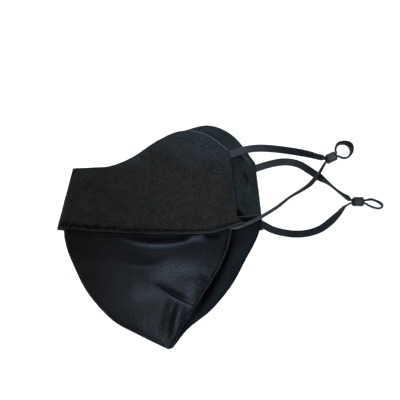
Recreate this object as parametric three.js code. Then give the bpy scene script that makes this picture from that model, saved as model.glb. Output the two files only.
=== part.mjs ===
// A sun protection face cover, folded flat along its centre line and lying on its right side.
// Millimetres, +Z up from the surface that it lies on, +Y towards the eyes, nose towards -X.
// Each half of the mask is an upper panel over the nose and cheek, and a lower panel over the
// chin that is tucked up behind the upper panel's hem, which leaves a slot to breathe through.
import * as THREE from 'three';

// ---- driving dimensions ----
const WALL = 1.2; // thickness of the doubled cloth
const CLEARANCE = 0.3; // between two layers that touch
const LAYER = WALL + CLEARANCE + 0.05; // from the middle of one layer to the next
const FLOOR_LAYER = WALL / 2; // middle of the layer that lies on the surface

const STRAP_WIDTH = 5.6; // flat elastic
const STRAP_THICKNESS = 1.6;
const STRAP_CHAMFER_SHARE = 0.6; // of half its thickness
const SQUEEZED_WIDTH = 3.3; // the elastic where it is pinched inside an adjuster
const SQUEEZED_THICKNESS = 1.1;

const ADJUSTER_LENGTH = 9;
const ADJUSTER_WIDTH = 7;
const ADJUSTER_HEIGHT = 5.7;
const ADJUSTER_CORNER = 2;
const MOUTH_SETBACK = 2.2; // of the top of its mask end, which is cut at a slant
const STRAND_OFFSET = 1.1; // of each of the two strands from the adjuster's middle
const SLOT_WIDTH = 2 * STRAND_OFFSET + SQUEEZED_THICKNESS + 2 * CLEARANCE;
const SLOT_HEIGHT = SQUEEZED_WIDTH + 2 * CLEARANCE;
const SLOT_CORNER = 0.8;

// ---- colours ----
const MATT_CLOTH = { color: 0x1f1e1d, roughness: 0.9, metalness: 0 };
const SATIN_CLOTH = { color: 0x22262c, roughness: 0.45, metalness: 0 };
const ELASTIC = { color: 0x24272a, roughness: 0.8, metalness: 0 };
const SOFT_PLASTIC = { color: 0x3a4042, roughness: 0.35, metalness: 0 };

// ---- panels ----
// An upper panel is a row of ribs from the nose seam to the cheek edge. Each rib runs from the
// hem (low) to the top edge (high); crown lifts its middle, and bow moves its middle along X.
const UPPER_LEFT_RIBS = [
  { lowX: -77.8, lowY: 5.4, lowZ: 2.4, highX: -65.8, highY: 53.0, highZ: 2.3, crown: 0, bow: 0 },
  { lowX: -75.2, lowY: 5.1, lowZ: 6.2, highX: -63.8, highY: 53.0, highZ: 3.0, crown: 0.6, bow: 0 },
  { lowX: -69.4, lowY: 4.3, lowZ: 7.6, highX: -59.6, highY: 53.0, highZ: 3.4, crown: 2.4, bow: 0 },
  { lowX: -58.0, lowY: 2.9, lowZ: 9.2, highX: -50.8, highY: 53.2, highZ: 4.0, crown: 4.2, bow: 0 },
  { lowX: -42.0, lowY: 1.5, lowZ: 10.8, highX: -37.2, highY: 54.2, highZ: 5.2, crown: 5.6, bow: 0 },
  { lowX: -23.0, lowY: 0.0, lowZ: 11.9, highX: -21.2, highY: 60.6, highZ: 7.0, crown: 6.2, bow: 0 },
  { lowX: -2.5, lowY: -0.8, lowZ: 12.2, highX: -3.2, highY: 72.5, highZ: 8.8, crown: 6.4, bow: 0 },
  { lowX: 18.0, lowY: -0.6, lowZ: 12.0, highX: 14.5, highY: 79.9, highZ: 10.0, crown: 5.8, bow: 0 },
  { lowX: 38.0, lowY: 0.4, lowZ: 11.2, highX: 33.0, highY: 77.0, highZ: 11.0, crown: 4.4, bow: -0.6 },
  { lowX: 57.8, lowY: 6.6, lowZ: 9.0, highX: 51.4, highY: 63.6, highZ: 11.6, crown: 1.6, bow: -0.5 },
];
const UPPER_RIGHT_RIBS = [
  { lowX: -77.8, lowY: 5.6, highX: -65.8, highY: 52.8, bow: 0 },
  { lowX: -58.0, lowY: 3.4, highX: -52.0, highY: 52.4, bow: 0 },
  { lowX: -38.0, lowY: 1.6, highX: -36.0, highY: 53.6, bow: 0 },
  { lowX: -18.0, lowY: 0.6, highX: -17.0, highY: 62.4, bow: 0 },
  { lowX: 3.0, lowY: 0.4, highX: 2.0, highY: 76.5, bow: 0 },
  { lowX: 23.0, lowY: 0.6, highX: 19.5, highY: 83.4, bow: 0 },
  { lowX: 42.0, lowY: 1.6, highX: 37.0, highY: 86.4, bow: 0.4 },
  { lowX: 60.0, lowY: 3.2, highX: 54.4, highY: 78.0, bow: 0.6 },
  { lowX: 76.4, lowY: 5.6, highX: 70.4, highY: 57.4, bow: 0.2 },
];
// A lower panel is a stack of courses from the chin tip to the tucked edge. Each course runs
// from the chin seam to the jaw edge; crown lifts its middle, and sag moves its middle along -Y.
const LOWER_LEFT_COURSES = [
  { seamX: 5.8, seamY: -86.6, seamZ: 2.4, jawX: 8.6, jawY: -85.8, jawZ: 2.6, crown: 0, sag: 0 },
  { seamX: -14.0, seamY: -76.6, seamZ: 2.4, jawX: 15.4, jawY: -71.6, jawZ: 4.6, crown: 2.2, sag: 1.5 },
  { seamX: -36.2, seamY: -63.8, seamZ: 2.4, jawX: 26.4, jawY: -53.6, jawZ: 6.6, crown: 4.2, sag: 3 },
  { seamX: -54.4, seamY: -43.0, seamZ: 2.4, jawX: 37.2, jawY: -36.8, jawZ: 7.6, crown: 5.2, sag: 3 },
  { seamX: -64.8, seamY: -22.6, seamZ: 2.4, jawX: 46.0, jawY: -20.6, jawZ: 7.6, crown: 4.8, sag: 3 },
  { seamX: -71.2, seamY: -5.0, seamZ: 2.4, jawX: 51.4, jawY: -4.4, jawZ: 6.0, crown: 3.4, sag: 3.4 },
  { seamX: -73.0, seamY: 12.0, seamZ: 2.4, jawX: 54.0, jawY: 12.6, jawZ: 4.6, crown: 2.6, sag: 3.2 },
];
const LOWER_RIGHT_COURSES = [
  { seamX: 5.8, seamY: -86.6, jawX: 8.8, jawY: -85.6, sag: 0 },
  { seamX: -14.0, seamY: -76.6, jawX: 20.2, jawY: -71.0, sag: 1.5 },
  { seamX: -36.2, seamY: -63.8, jawX: 37.6, jawY: -56.4, sag: 3 },
  { seamX: -54.4, seamY: -43.0, jawX: 52.8, jawY: -37.4, sag: 3 },
  { seamX: -64.8, seamY: -22.6, jawX: 63.4, jawY: -17.4, sag: 3 },
  { seamX: -71.2, seamY: -5.0, jawX: 72.6, jawY: 1.0, sag: 1.5 },
  { seamX: -73.2, seamY: 12.4, jawX: 75.6, jawY: 17.2, sag: 2 },
];
// The lower panels rise where they pass over the upper right panel's hem.
const TUCK_START_Y = -9.5;
const TUCK_END_Y = -1.5;

// Soft folds in the left chin panel: each is a ridge (or a groove, where height is negative)
// along an arc from a point, bending towards a second, to a third.
const CHIN_FOLDS = [
  { x0: -36, y0: -5, x1: -4, y1: -19, x2: 27, y2: 0, height: 1.7, reach: 4 },
  { x0: -34, y0: -15, x1: -12, y1: -34, x2: 6, y2: -20, height: 1.0, reach: 5 },
  { x0: -6, y0: -38, x1: 9, y1: -50, x2: 29, y2: -55, height: 1.6, reach: 3.5 },
  { x0: -8, y0: -32, x1: 9, y1: -43, x2: 27, y2: -46, height: -1.2, reach: 4 },
  { x0: 2, y0: -52, x1: 3, y1: -64, x2: 2, y2: -77, height: -1.2, reach: 4 },
  { x0: 11, y0: -56, x1: 11, y1: -68, x2: 8, y2: -78, height: 1.1, reach: 3.5 },
];
const ARCH_POWER = 2.6; // 2 would be a parabola, and more is flatter on top
const CHEEK_FLARE = 3.8; // how far the left hem's last corner reaches towards the straps
const CHEEK_FLARE_SIDEWAYS = 0.5; // and the share of that which it moves along +Y
const CHEEK_FLARE_START = 0.86; // where across the panel it starts
const CHEEK_FLARE_RISE = 0.13; // share of the cheek edge over which it does
const EDGE_LIFT = 1.4; // of the right half's free edges above the surface
const JAW_LIFT = 0.84;
const EDGE_LIFT_SHARE = 0.16; // share of a panel's width over which they lift

// Where the lifts of the right half's edges start and end along those edges.
const CHEEK_LIFT = [0.3, 0.6];
const TOP_LIFT = [0.5, 0.7];
const JAW_LIFT_RISE = [0, 0.25];
const JAW_LIFT_FALL = [0.75, 0.95];

// ---- adjusters and straps ----
// yaw turns an adjuster's axis from +X towards +Y, and tip raises the end that faces the mask.
const ADJUSTER_LEFT = { x: 127.1, y: 61.1, z: 2.95, yaw: 26, tip: 0 };
const ADJUSTER_RIGHT = { x: 147.2, y: 26.8, z: 3.8, yaw: 1, tip: 10 };

// Each strap has three hand-laid runs: out to its adjuster, round the loop beyond it, and back.
// roll turns the flat band about its run, 0 lying flat and 90 standing on its edge.
const STRAP_LEFT = {
  out: [
    { x: 45.0, y: 59.2, z: 9.3, roll: 0 },
    { x: 51.0, y: 61.8, z: 9.2, roll: 0 },
    { x: 57.5, y: 64.2, z: 8.4, roll: 4 },
    { x: 64.5, y: 66.6, z: 6.6, roll: 8 },
    { x: 72.5, y: 68.2, z: 4.2, roll: 8 },
    { x: 82.0, y: 68.5, z: 2.0, roll: 4 },
    { x: 92.0, y: 67.6, z: 1.1, roll: 4 },
    { x: 102.0, y: 65.8, z: 2.1, roll: 28 },
    { x: 110.5, y: 63.9, z: 2.8, roll: 46 },
    { x: 116.6, y: 62.1, z: 3.0, roll: 60 },
    { x: 121.0, y: 61.0, z: 3.0, roll: 62 },
  ],
  loop: [
    { x: 130.7, y: 67.8, z: 3.0, roll: 90 },
    { x: 132.7, y: 71.8, z: 3.0, roll: 86 },
    { x: 138.0, y: 72.7, z: 3.0, roll: 74 },
    { x: 142.0, y: 70.4, z: 3.0, roll: 54 },
    { x: 142.8, y: 65.8, z: 3.0, roll: 68 },
    { x: 140.4, y: 61.9, z: 3.0, roll: 78 },
    { x: 136.6, y: 60.9, z: 3.0, roll: 82 },
  ],
  back: [
    { x: 122.9, y: 57.0, z: 3.7, roll: 76 },
    { x: 121.4, y: 54.2, z: 4.5, roll: 72 },
    { x: 119.6, y: 50.8, z: 5.0, roll: 70 },
    { x: 117.9, y: 47.7, z: 5.6, roll: 66 },
    { x: 115.2, y: 44.3, z: 4.5, roll: 54 },
    { x: 111.0, y: 40.1, z: 3.0, roll: 52 },
    { x: 105.3, y: 36.0, z: 3.0, roll: 64 },
    { x: 96.1, y: 30.3, z: 3.1, roll: 74 },
    { x: 87.0, y: 22.8, z: 3.8, roll: 73 },
    { x: 77.0, y: 15.6, z: 6.4, roll: 78 },
    { x: 69.0, y: 10.9, z: 7.4, roll: 60 },
    { x: 62.4, y: 7.8, z: 7.7, roll: 52 },
    { x: 56.6, y: 5.6, z: 7.9, roll: 46 },
  ],
};
const STRAP_RIGHT = {
  out: [
    { x: 72.3, y: 53.6, z: 1.9, roll: 0 },
    { x: 78.0, y: 55.6, z: 1.4, roll: 0 },
    { x: 86.0, y: 57.7, z: 0.95, roll: 0 },
    { x: 94.5, y: 58.4, z: 0.95, roll: 0 },
    { x: 103.0, y: 56.6, z: 0.95, roll: 0 },
    { x: 110.8, y: 52.0, z: 1.0, roll: 0 },
    { x: 117.2, y: 47.5, z: 1.1, roll: 2 },
    { x: 121.3, y: 44.4, z: 2.6, roll: 56 },
    { x: 125.5, y: 41.1, z: 3.05, roll: 84 },
    { x: 130.9, y: 36.4, z: 3.1, roll: 92 },
    { x: 136.4, y: 32.0, z: 3.6, roll: 82 },
    { x: 140.2, y: 29.3, z: 4.2, roll: 68 },
  ],
  loop: [
    { x: 157.6, y: 28.7, z: 3.0, roll: 96 },
    { x: 162.2, y: 27.0, z: 3.0, roll: 94 },
    { x: 165.3, y: 24.8, z: 3.0, roll: 86 },
    { x: 165.2, y: 22.7, z: 3.05, roll: 78 },
    { x: 162.6, y: 21.8, z: 3.05, roll: 78 },
    { x: 157.6, y: 23.0, z: 3.05, roll: 80 },
  ],
  back: [
    { x: 137.4, y: 22.9, z: 3.7, roll: 66 },
    { x: 132.5, y: 17.4, z: 2.5, roll: 38 },
    { x: 126.2, y: 11.5, z: 1.25, roll: 6 },
    { x: 119.0, y: 6.3, z: 0.95, roll: 0 },
    { x: 110.0, y: 3.2, z: 0.95, roll: 0 },
    { x: 100.5, y: 2.4, z: 0.95, roll: 0 },
    { x: 91.0, y: 3.6, z: 0.95, roll: 0 },
    { x: 83.0, y: 5.9, z: 0.95, roll: 0 },
    { x: 78.2, y: 8.5, z: 0.95, roll: 0 },
  ],
};
// Where a strand's route has points along an adjuster, in shares of the adjuster's length.
const STRAND_REACHES = [-0.52, -0.38, -0.2, 0, 0.22, 0.44, 0.6];
const STEPS_PER_POINT = 2; // strap sections between two points of its route

// ---- small maths ----
const clamp01 = (t) => Math.min(1, Math.max(0, t));
const smooth = (t) => clamp01(t) ** 2 * (3 - 2 * clamp01(t));
const mix = (a, b, t) => a + (b - a) * t;
const arch = (t) => 1 - Math.abs(2 * t - 1) ** ARCH_POWER;
const radians = (degrees) => (degrees * Math.PI) / 180;

// 0 before the first of two places, 1 after the second, and a smooth rise between them.
const rise = (t, [start, end]) => smooth((t - start) / (end - start));

// A column of a table as a smooth curve through its rows, for s from 0 to 1.
function along(rows, key, s) {
  const last = rows.length - 1;
  const i = Math.min(Math.floor(s * last), last - 1);
  const f = s * last - i;
  const b = rows[i][key];
  const c = rows[i + 1][key];
  const a = i > 0 ? rows[i - 1][key] : 2 * b - c;
  const d = i + 2 <= last ? rows[i + 2][key] : 2 * c - b;
  const cubic = 3 * b - a - 3 * c + d;
  return b + 0.5 * f * (c - a + f * (2 * a - 5 * b + 4 * c - d + f * cubic));
}

// Height added at (x, y) by a list of folds.
function foldHeight(folds, x, y) {
  const SAMPLES = 16;
  let total = 0;
  for (const fold of folds) {
    let strongest = 0;
    for (let k = 0; k <= SAMPLES; k += 1) {
      const t = k / SAMPLES;
      const px = (1 - t) ** 2 * fold.x0 + 2 * t * (1 - t) * fold.x1 + t ** 2 * fold.x2;
      const py = (1 - t) ** 2 * fold.y0 + 2 * t * (1 - t) * fold.y1 + t ** 2 * fold.y2;
      const distance = Math.hypot(x - px, y - py) / fold.reach;
      strongest = Math.max(strongest, Math.sin(Math.PI * t) ** 0.5 * Math.exp(-(distance ** 2)));
    }
    total += fold.height * strongest;
  }
  return total;
}

// ---- surfaces: the middle of each panel, for across and up from 0 to 1 ----
function ribPoint(ribs, across, up) {
  const x = mix(along(ribs, 'lowX', across), along(ribs, 'highX', across), up);
  const y = mix(along(ribs, 'lowY', across), along(ribs, 'highY', across), up);
  return new THREE.Vector3(x + along(ribs, 'bow', across) * 4 * up * (1 - up), y, 0);
}

function upperLeft(across, up) {
  const ribs = UPPER_LEFT_RIBS;
  const point = ribPoint(ribs, across, up);
  const flaring = smooth(1 - up / CHEEK_FLARE_RISE) * rise(across, [CHEEK_FLARE_START, 1]);
  const level = mix(along(ribs, 'lowZ', across), along(ribs, 'highZ', across), up);
  point.x += CHEEK_FLARE * flaring;
  point.y += CHEEK_FLARE * CHEEK_FLARE_SIDEWAYS * flaring;
  point.z = level + along(ribs, 'crown', across) * arch(up);
  return point;
}

function upperRight(across, up) {
  const point = ribPoint(UPPER_RIGHT_RIBS, across, up);
  const cheek = rise(across, [1 - EDGE_LIFT_SHARE, 1]) * rise(up, CHEEK_LIFT);
  const top = rise(up, [1 - EDGE_LIFT_SHARE, 1]) * rise(across, TOP_LIFT);
  point.z = FLOOR_LAYER + EDGE_LIFT * Math.max(cheek, top);
  return point;
}

function coursePoint(courses, across, up) {
  const x = mix(along(courses, 'seamX', up), along(courses, 'jawX', up), across);
  const y = mix(along(courses, 'seamY', up), along(courses, 'jawY', up), across);
  return new THREE.Vector3(x, y - along(courses, 'sag', up) * 4 * across * (1 - across), 0);
}

const tuck = (y) => LAYER * rise(y, [TUCK_START_Y, TUCK_END_Y]);

function lowerLeft(across, up) {
  const courses = LOWER_LEFT_COURSES;
  const point = coursePoint(courses, across, up);
  const level = mix(along(courses, 'seamZ', up), along(courses, 'jawZ', up), across);
  const crown = along(courses, 'crown', up) * arch(across);
  point.z = level + crown + foldHeight(CHIN_FOLDS, point.x, point.y) + tuck(point.y);
  return point;
}

function lowerRight(across, up) {
  const point = coursePoint(LOWER_RIGHT_COURSES, across, up);
  const jaw = rise(across, [1 - EDGE_LIFT_SHARE, 1]);
  const alongJaw = rise(up, JAW_LIFT_RISE) * (1 - rise(up, JAW_LIFT_FALL));
  point.z = FLOOR_LAYER + JAW_LIFT * jaw * alongJaw + tuck(point.y);
  return point;
}

// ---- solids ----
function solid(positions, indices) {
  const geometry = new THREE.BufferGeometry();
  geometry.setAttribute('position', new THREE.Float32BufferAttribute(positions, 3));
  geometry.setIndex(indices);
  geometry.computeVertexNormals();
  return geometry;
}

// The cloth wall on both sides of a surface.
function wall(surface, columns, rows) {
  const STEP = 0.002; // across or up the surface, for its slopes
  const positions = [];
  for (const side of [1, -1]) {
    for (let j = 0; j <= rows; j += 1) {
      for (let i = 0; i <= columns; i += 1) {
        const [u, v] = [i / columns, j / rows];
        const du = surface(Math.min(1, u + STEP), v).sub(surface(Math.max(0, u - STEP), v));
        const dv = surface(u, Math.min(1, v + STEP)).sub(surface(u, Math.max(0, v - STEP)));
        const normal = du.cross(dv).normalize();
        positions.push(...surface(u, v).addScaledVector(normal, (side * WALL) / 2).toArray());
      }
    }
  }
  const stride = columns + 1;
  const layer = stride * (rows + 1);
  const indices = [];
  const quad = (a, b, c, d) => indices.push(a, b, c, a, c, d);
  for (let j = 0; j < rows; j += 1) {
    for (let i = 0; i < columns; i += 1) {
      const a = j * stride + i;
      quad(a, a + 1, a + 1 + stride, a + stride);
      quad(layer + a, layer + a + stride, layer + a + stride + 1, layer + a + 1);
    }
  }
  for (let i = 0; i < columns; i += 1) {
    const top = rows * stride + i;
    quad(i, layer + i, layer + i + 1, i + 1);
    quad(top, top + 1, layer + top + 1, layer + top);
  }
  for (let j = 0; j < rows; j += 1) {
    const left = j * stride;
    const right = left + columns;
    quad(left, left + stride, layer + left + stride, layer + left);
    quad(right, layer + right, layer + right + stride, right + stride);
  }
  return solid(positions, indices);
}

// The unit axis of an adjuster, from its mask end to its loop end.
function adjusterAxis(adjuster) {
  const yaw = radians(adjuster.yaw);
  const level = Math.cos(radians(adjuster.tip));
  const fall = Math.sin(radians(adjuster.tip));
  return new THREE.Vector3(Math.cos(yaw) * level, Math.sin(yaw) * level, -fall);
}

// Route points of one strand through an adjuster, side +1 or -1 of its middle, outward bound.
function throughAdjuster(adjuster, side) {
  const axis = adjusterAxis(adjuster);
  const yaw = radians(adjuster.yaw);
  const offset = side * STRAND_OFFSET;
  const points = [];
  for (const reach of STRAND_REACHES) {
    const distance = reach * ADJUSTER_LENGTH;
    points.push({
      x: adjuster.x + axis.x * distance - Math.sin(yaw) * offset,
      y: adjuster.y + axis.y * distance + Math.cos(yaw) * offset,
      z: adjuster.z + axis.z * distance,
      roll: 90,
      pinch: 1,
    });
  }
  return points;
}

function strapRoute(runs, adjuster) {
  const open = (run) => run.map((row) => ({ ...row, pinch: 0 }));
  const outward = throughAdjuster(adjuster, 1);
  const homeward = throughAdjuster(adjuster, -1).reverse();
  return [...open(runs.out), ...outward, ...open(runs.loop), ...homeward, ...open(runs.back)];
}

// A flat band swept along its route, with an eight-sided section.
function strap(route) {
  const STEP = 0.001; // along the route, for its direction
  const count = (route.length - 1) * STEPS_PER_POINT;
  const at = (s) => new THREE.Vector3(...['x', 'y', 'z'].map((key) => along(route, key, s)));
  const positions = [];
  const indices = [];
  for (let k = 0; k <= count; k += 1) {
    const s = k / count;
    const centre = at(s);
    const tangent = at(Math.min(1, s + STEP)).sub(at(Math.max(0, s - STEP))).normalize();
    const flat = new THREE.Vector3(-tangent.y, tangent.x, 0).normalize();
    const steep = new THREE.Vector3().crossVectors(tangent, flat);
    const roll = radians(along(route, 'roll', s));
    const pinch = clamp01(along(route, 'pinch', s));
    const halfWidth = mix(STRAP_WIDTH, SQUEEZED_WIDTH, pinch) / 2;
    const halfThickness = mix(STRAP_THICKNESS, SQUEEZED_THICKNESS, pinch) / 2;
    const chamfer = halfThickness * STRAP_CHAMFER_SHARE;
    const section = [
      [halfWidth, -halfThickness + chamfer], [halfWidth, halfThickness - chamfer],
      [halfWidth - chamfer, halfThickness], [-halfWidth + chamfer, halfThickness],
      [-halfWidth, halfThickness - chamfer], [-halfWidth, -halfThickness + chamfer],
      [-halfWidth + chamfer, -halfThickness], [halfWidth - chamfer, -halfThickness],
    ];
    for (const [w, t] of section) {
      const sideways = w * Math.cos(roll) - t * Math.sin(roll);
      const upward = w * Math.sin(roll) + t * Math.cos(roll);
      const corner = centre.clone().addScaledVector(flat, sideways).addScaledVector(steep, upward);
      positions.push(...corner.toArray());
    }
  }
  const SIDES = 8;
  for (let k = 0; k < count; k += 1) {
    for (let i = 0; i < SIDES; i += 1) {
      const a = k * SIDES + i;
      const b = k * SIDES + ((i + 1) % SIDES);
      indices.push(a, b, b + SIDES, a, b + SIDES, a + SIDES);
    }
  }
  const end = count * SIDES;
  for (let i = 1; i < SIDES - 1; i += 1) {
    indices.push(0, i + 1, i, end, end + i, end + i + 1);
  }
  return solid(positions, indices);
}

function roundedRectangle(Path, width, height, corner) {
  const [w, h] = [width / 2, height / 2];
  const path = new Path();
  path.moveTo(-w + corner, -h);
  path.lineTo(w - corner, -h);
  path.absarc(w - corner, -h + corner, corner, -Math.PI / 2, 0);
  path.lineTo(w, h - corner);
  path.absarc(w - corner, h - corner, corner, 0, Math.PI / 2);
  path.lineTo(-w + corner, h);
  path.absarc(-w + corner, h - corner, corner, Math.PI / 2, Math.PI);
  path.lineTo(-w, -h + corner);
  path.absarc(-w + corner, -h + corner, corner, Math.PI, 1.5 * Math.PI);
  return path;
}

// A short barrel with a slot through it, open at both ends. Its mask end slants back to its top.
function adjusterGeometry() {
  const shape = roundedRectangle(THREE.Shape, ADJUSTER_WIDTH, ADJUSTER_HEIGHT, ADJUSTER_CORNER);
  shape.holes.push(roundedRectangle(THREE.Path, SLOT_WIDTH, SLOT_HEIGHT, SLOT_CORNER));
  const options = { depth: ADJUSTER_LENGTH, bevelEnabled: false, curveSegments: 5 };
  const geometry = new THREE.ExtrudeGeometry(shape, options);
  const { position } = geometry.attributes;
  for (let k = 0; k < position.count; k += 1) {
    const height = position.getY(k) / ADJUSTER_HEIGHT + 0.5;
    const setback = position.getZ(k) === 0 ? MOUTH_SETBACK * height : 0;
    position.setZ(k, position.getZ(k) + setback - ADJUSTER_LENGTH / 2);
  }
  geometry.computeVertexNormals();
  return geometry;
}

// ---- assembly ----
function named(name, geometry, finish) {
  const mesh = new THREE.Mesh(geometry, new THREE.MeshStandardMaterial(finish));
  mesh.name = name;
  return mesh;
}

function placedAdjuster(name, adjuster) {
  const mesh = named(name, adjusterGeometry(), SOFT_PLASTIC);
  const axis = adjusterAxis(adjuster);
  const across = new THREE.Vector3(-axis.y, axis.x, 0).normalize();
  const upward = new THREE.Vector3().crossVectors(axis, across);
  mesh.setRotationFromMatrix(new THREE.Matrix4().makeBasis(across, upward, axis));
  mesh.position.set(adjuster.x, adjuster.y, adjuster.z);
  return mesh;
}

const faceCover = new THREE.Group();
faceCover.add(
  named('upper_panel_left', wall(upperLeft, 32, 16), MATT_CLOTH),
  named('upper_panel_right', wall(upperRight, 24, 12), MATT_CLOTH),
  named('lower_panel_left', wall(lowerLeft, 28, 22), SATIN_CLOTH),
  named('lower_panel_right', wall(lowerRight, 20, 16), SATIN_CLOTH),
  named('ear_strap_left', strap(strapRoute(STRAP_LEFT, ADJUSTER_LEFT)), ELASTIC),
  named('ear_strap_right', strap(strapRoute(STRAP_RIGHT, ADJUSTER_RIGHT)), ELASTIC),
  placedAdjuster('strap_adjuster_left', ADJUSTER_LEFT),
  placedAdjuster('strap_adjuster_right', ADJUSTER_RIGHT),
);

export default faceCover;
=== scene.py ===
"""A sun protection face cover, folded flat along its centre line and lying on its right side.

Metres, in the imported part's frame: +Z up from the surface, +Y towards the eyes, nose towards -X.
Each half of the mask is a matt upper panel over nose and cheek, and a satin lower panel over the
chin that is tucked up behind the upper panel's hem. Flat elastic ear straps carry adjusters.
"""
import math

import bpy
import numpy as np
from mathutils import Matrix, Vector


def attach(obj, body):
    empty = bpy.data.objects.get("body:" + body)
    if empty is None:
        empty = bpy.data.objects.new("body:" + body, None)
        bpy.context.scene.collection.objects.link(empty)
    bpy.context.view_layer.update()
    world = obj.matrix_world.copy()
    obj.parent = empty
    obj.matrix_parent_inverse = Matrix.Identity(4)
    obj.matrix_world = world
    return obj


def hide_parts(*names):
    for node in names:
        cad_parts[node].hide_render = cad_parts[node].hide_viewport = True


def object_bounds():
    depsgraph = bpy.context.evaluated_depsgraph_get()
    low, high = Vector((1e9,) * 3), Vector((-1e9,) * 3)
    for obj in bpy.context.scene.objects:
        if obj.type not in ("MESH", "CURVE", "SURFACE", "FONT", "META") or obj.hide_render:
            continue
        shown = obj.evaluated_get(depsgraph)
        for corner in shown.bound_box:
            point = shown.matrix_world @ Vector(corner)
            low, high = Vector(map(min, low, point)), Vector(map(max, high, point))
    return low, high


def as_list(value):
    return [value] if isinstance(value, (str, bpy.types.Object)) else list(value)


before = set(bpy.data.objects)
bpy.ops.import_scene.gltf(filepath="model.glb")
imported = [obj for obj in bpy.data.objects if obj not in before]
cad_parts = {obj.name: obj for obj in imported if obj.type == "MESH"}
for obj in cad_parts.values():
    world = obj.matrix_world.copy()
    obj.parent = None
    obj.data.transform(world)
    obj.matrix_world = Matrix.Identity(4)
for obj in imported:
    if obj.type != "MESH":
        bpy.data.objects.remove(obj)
cad_low, cad_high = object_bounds()

# ---- camera ----
VIEW_ELEVATION = math.radians(75)
VIEW_DISTANCE = 8.0
FRAME_WIDTH = 0.3  # what the picture takes in, at the surface
SENSOR_WIDTH = 36.0
AIM_OFFSET = Vector((-0.0152, 0.0292, -0.0089))  # from the middle of the object's box


def make_camera():
    data = bpy.data.cameras.new("camera")
    data.sensor_width = SENSOR_WIDTH
    data.lens = SENSOR_WIDTH * VIEW_DISTANCE / FRAME_WIDTH
    camera = bpy.data.objects.new("camera", data)
    towards_viewer = Vector((0, -math.cos(VIEW_ELEVATION), math.sin(VIEW_ELEVATION)))
    aim = (cad_low + cad_high) / 2 + AIM_OFFSET
    camera.location = aim + towards_viewer * VIEW_DISTANCE
    camera.rotation_euler = towards_viewer.to_track_quat("Z", "Y").to_euler()
    bpy.context.scene.collection.objects.link(camera)
    bpy.context.scene.camera = camera


make_camera()

# ---- small maths, on arrays ----
MM = 0.001


def clamp(t):
    return np.clip(t, 0, 1)


def smooth(t):
    return clamp(t) ** 2 * (3 - 2 * clamp(t))


def mix(a, b, t):
    return a + (b - a) * t


def bow(t):
    """A parabola: 0 at both ends and 1 halfway."""
    return 4 * t * (1 - t)


def peak(distance, reach):
    """1 where the distance is 0, dying away over the reach on both sides."""
    return np.exp(-((distance / reach) ** 2))


def unit(vectors):
    return vectors / np.maximum(np.linalg.norm(vectors, axis=-1, keepdims=True), 1e-12)


def table(columns, rows, scale=1):
    """Rows of numbers under named columns, as one array a column."""
    return dict(zip(columns.split(), scale * np.array(rows, float).T))


def along(values, s):
    """A table's column as a smooth curve through its rows, for s from 0 to 1."""
    last = len(values) - 1
    ends = 2 * values[0] - values[1], 2 * values[-1] - values[-2]
    padded = np.concatenate([ends[:1], values, ends[1:]])
    place = clamp(s) * last
    i = np.minimum(place.astype(int), last - 1)
    f = place - i
    a, b, c, d = (padded[i + k] for k in range(4))
    return b + 0.5 * f * (c - a + f * (2 * a - 5 * b + 4 * c - d + f * (3 * b - a - 3 * c + d)))


def curves(columns, s):
    """All of a table's columns as smooth curves."""
    return {name: along(values, s) for name, values in columns.items()}


def travelled(points):
    """How far along a line each of its points is."""
    steps = np.linalg.norm(np.diff(points, axis=0), axis=1)
    return np.concatenate([[0], np.cumsum(steps)])


def looked_up(s, reached, line):
    """A line's point, or its normal, at each distance in s. reached is how far along each of its own is."""
    return np.stack([np.interp(s, reached, line[:, k]) for k in range(3)], -1)


def outline(sides, across_power=1, upward_power=1):
    """Points round a circle of radius 1, squarer for powers under 1, as two arrays."""
    turn = np.linspace(0, math.tau, sides, endpoint=False)
    waves = (np.cos(turn), across_power), (np.sin(turn), upward_power)
    return [np.sign(wave) * np.abs(wave) ** power for wave, power in waves]


def noise(x, y, size, seed):
    """Smooth random heights from -1 to 1 over a plane, with bumps about `size` apart."""
    TILE = 64
    lattice = np.random.default_rng(seed).uniform(-1, 1, (TILE, TILE))
    px, py = x / size, y / size
    i, j = np.floor(px).astype(int), np.floor(py).astype(int)
    fx, fy = smooth(px - i), smooth(py - j)

    def corner(di, dj):
        return lattice[(i + di) % TILE, (j + dj) % TILE]

    return mix(mix(corner(0, 0), corner(1, 0), fx), mix(corner(0, 1), corner(1, 1), fx), fy)


def noise_along(s, size, seed):
    """The same along a line."""
    return noise(s, np.zeros_like(s), size, seed)


# ---- materials ----
FLAT_MAP = "flat_map"
# A point attribute for each piece: real wear, painted highlights and painted shade, which make its colour
# lighter and darker.
WEAR_AND_SHADING = "wear_and_shading"
# The colour that negative values darken towards: painted shade, and darkening along stitch rows.
DARKENED = (0.0012, 0.0011, 0.0012)


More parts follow.
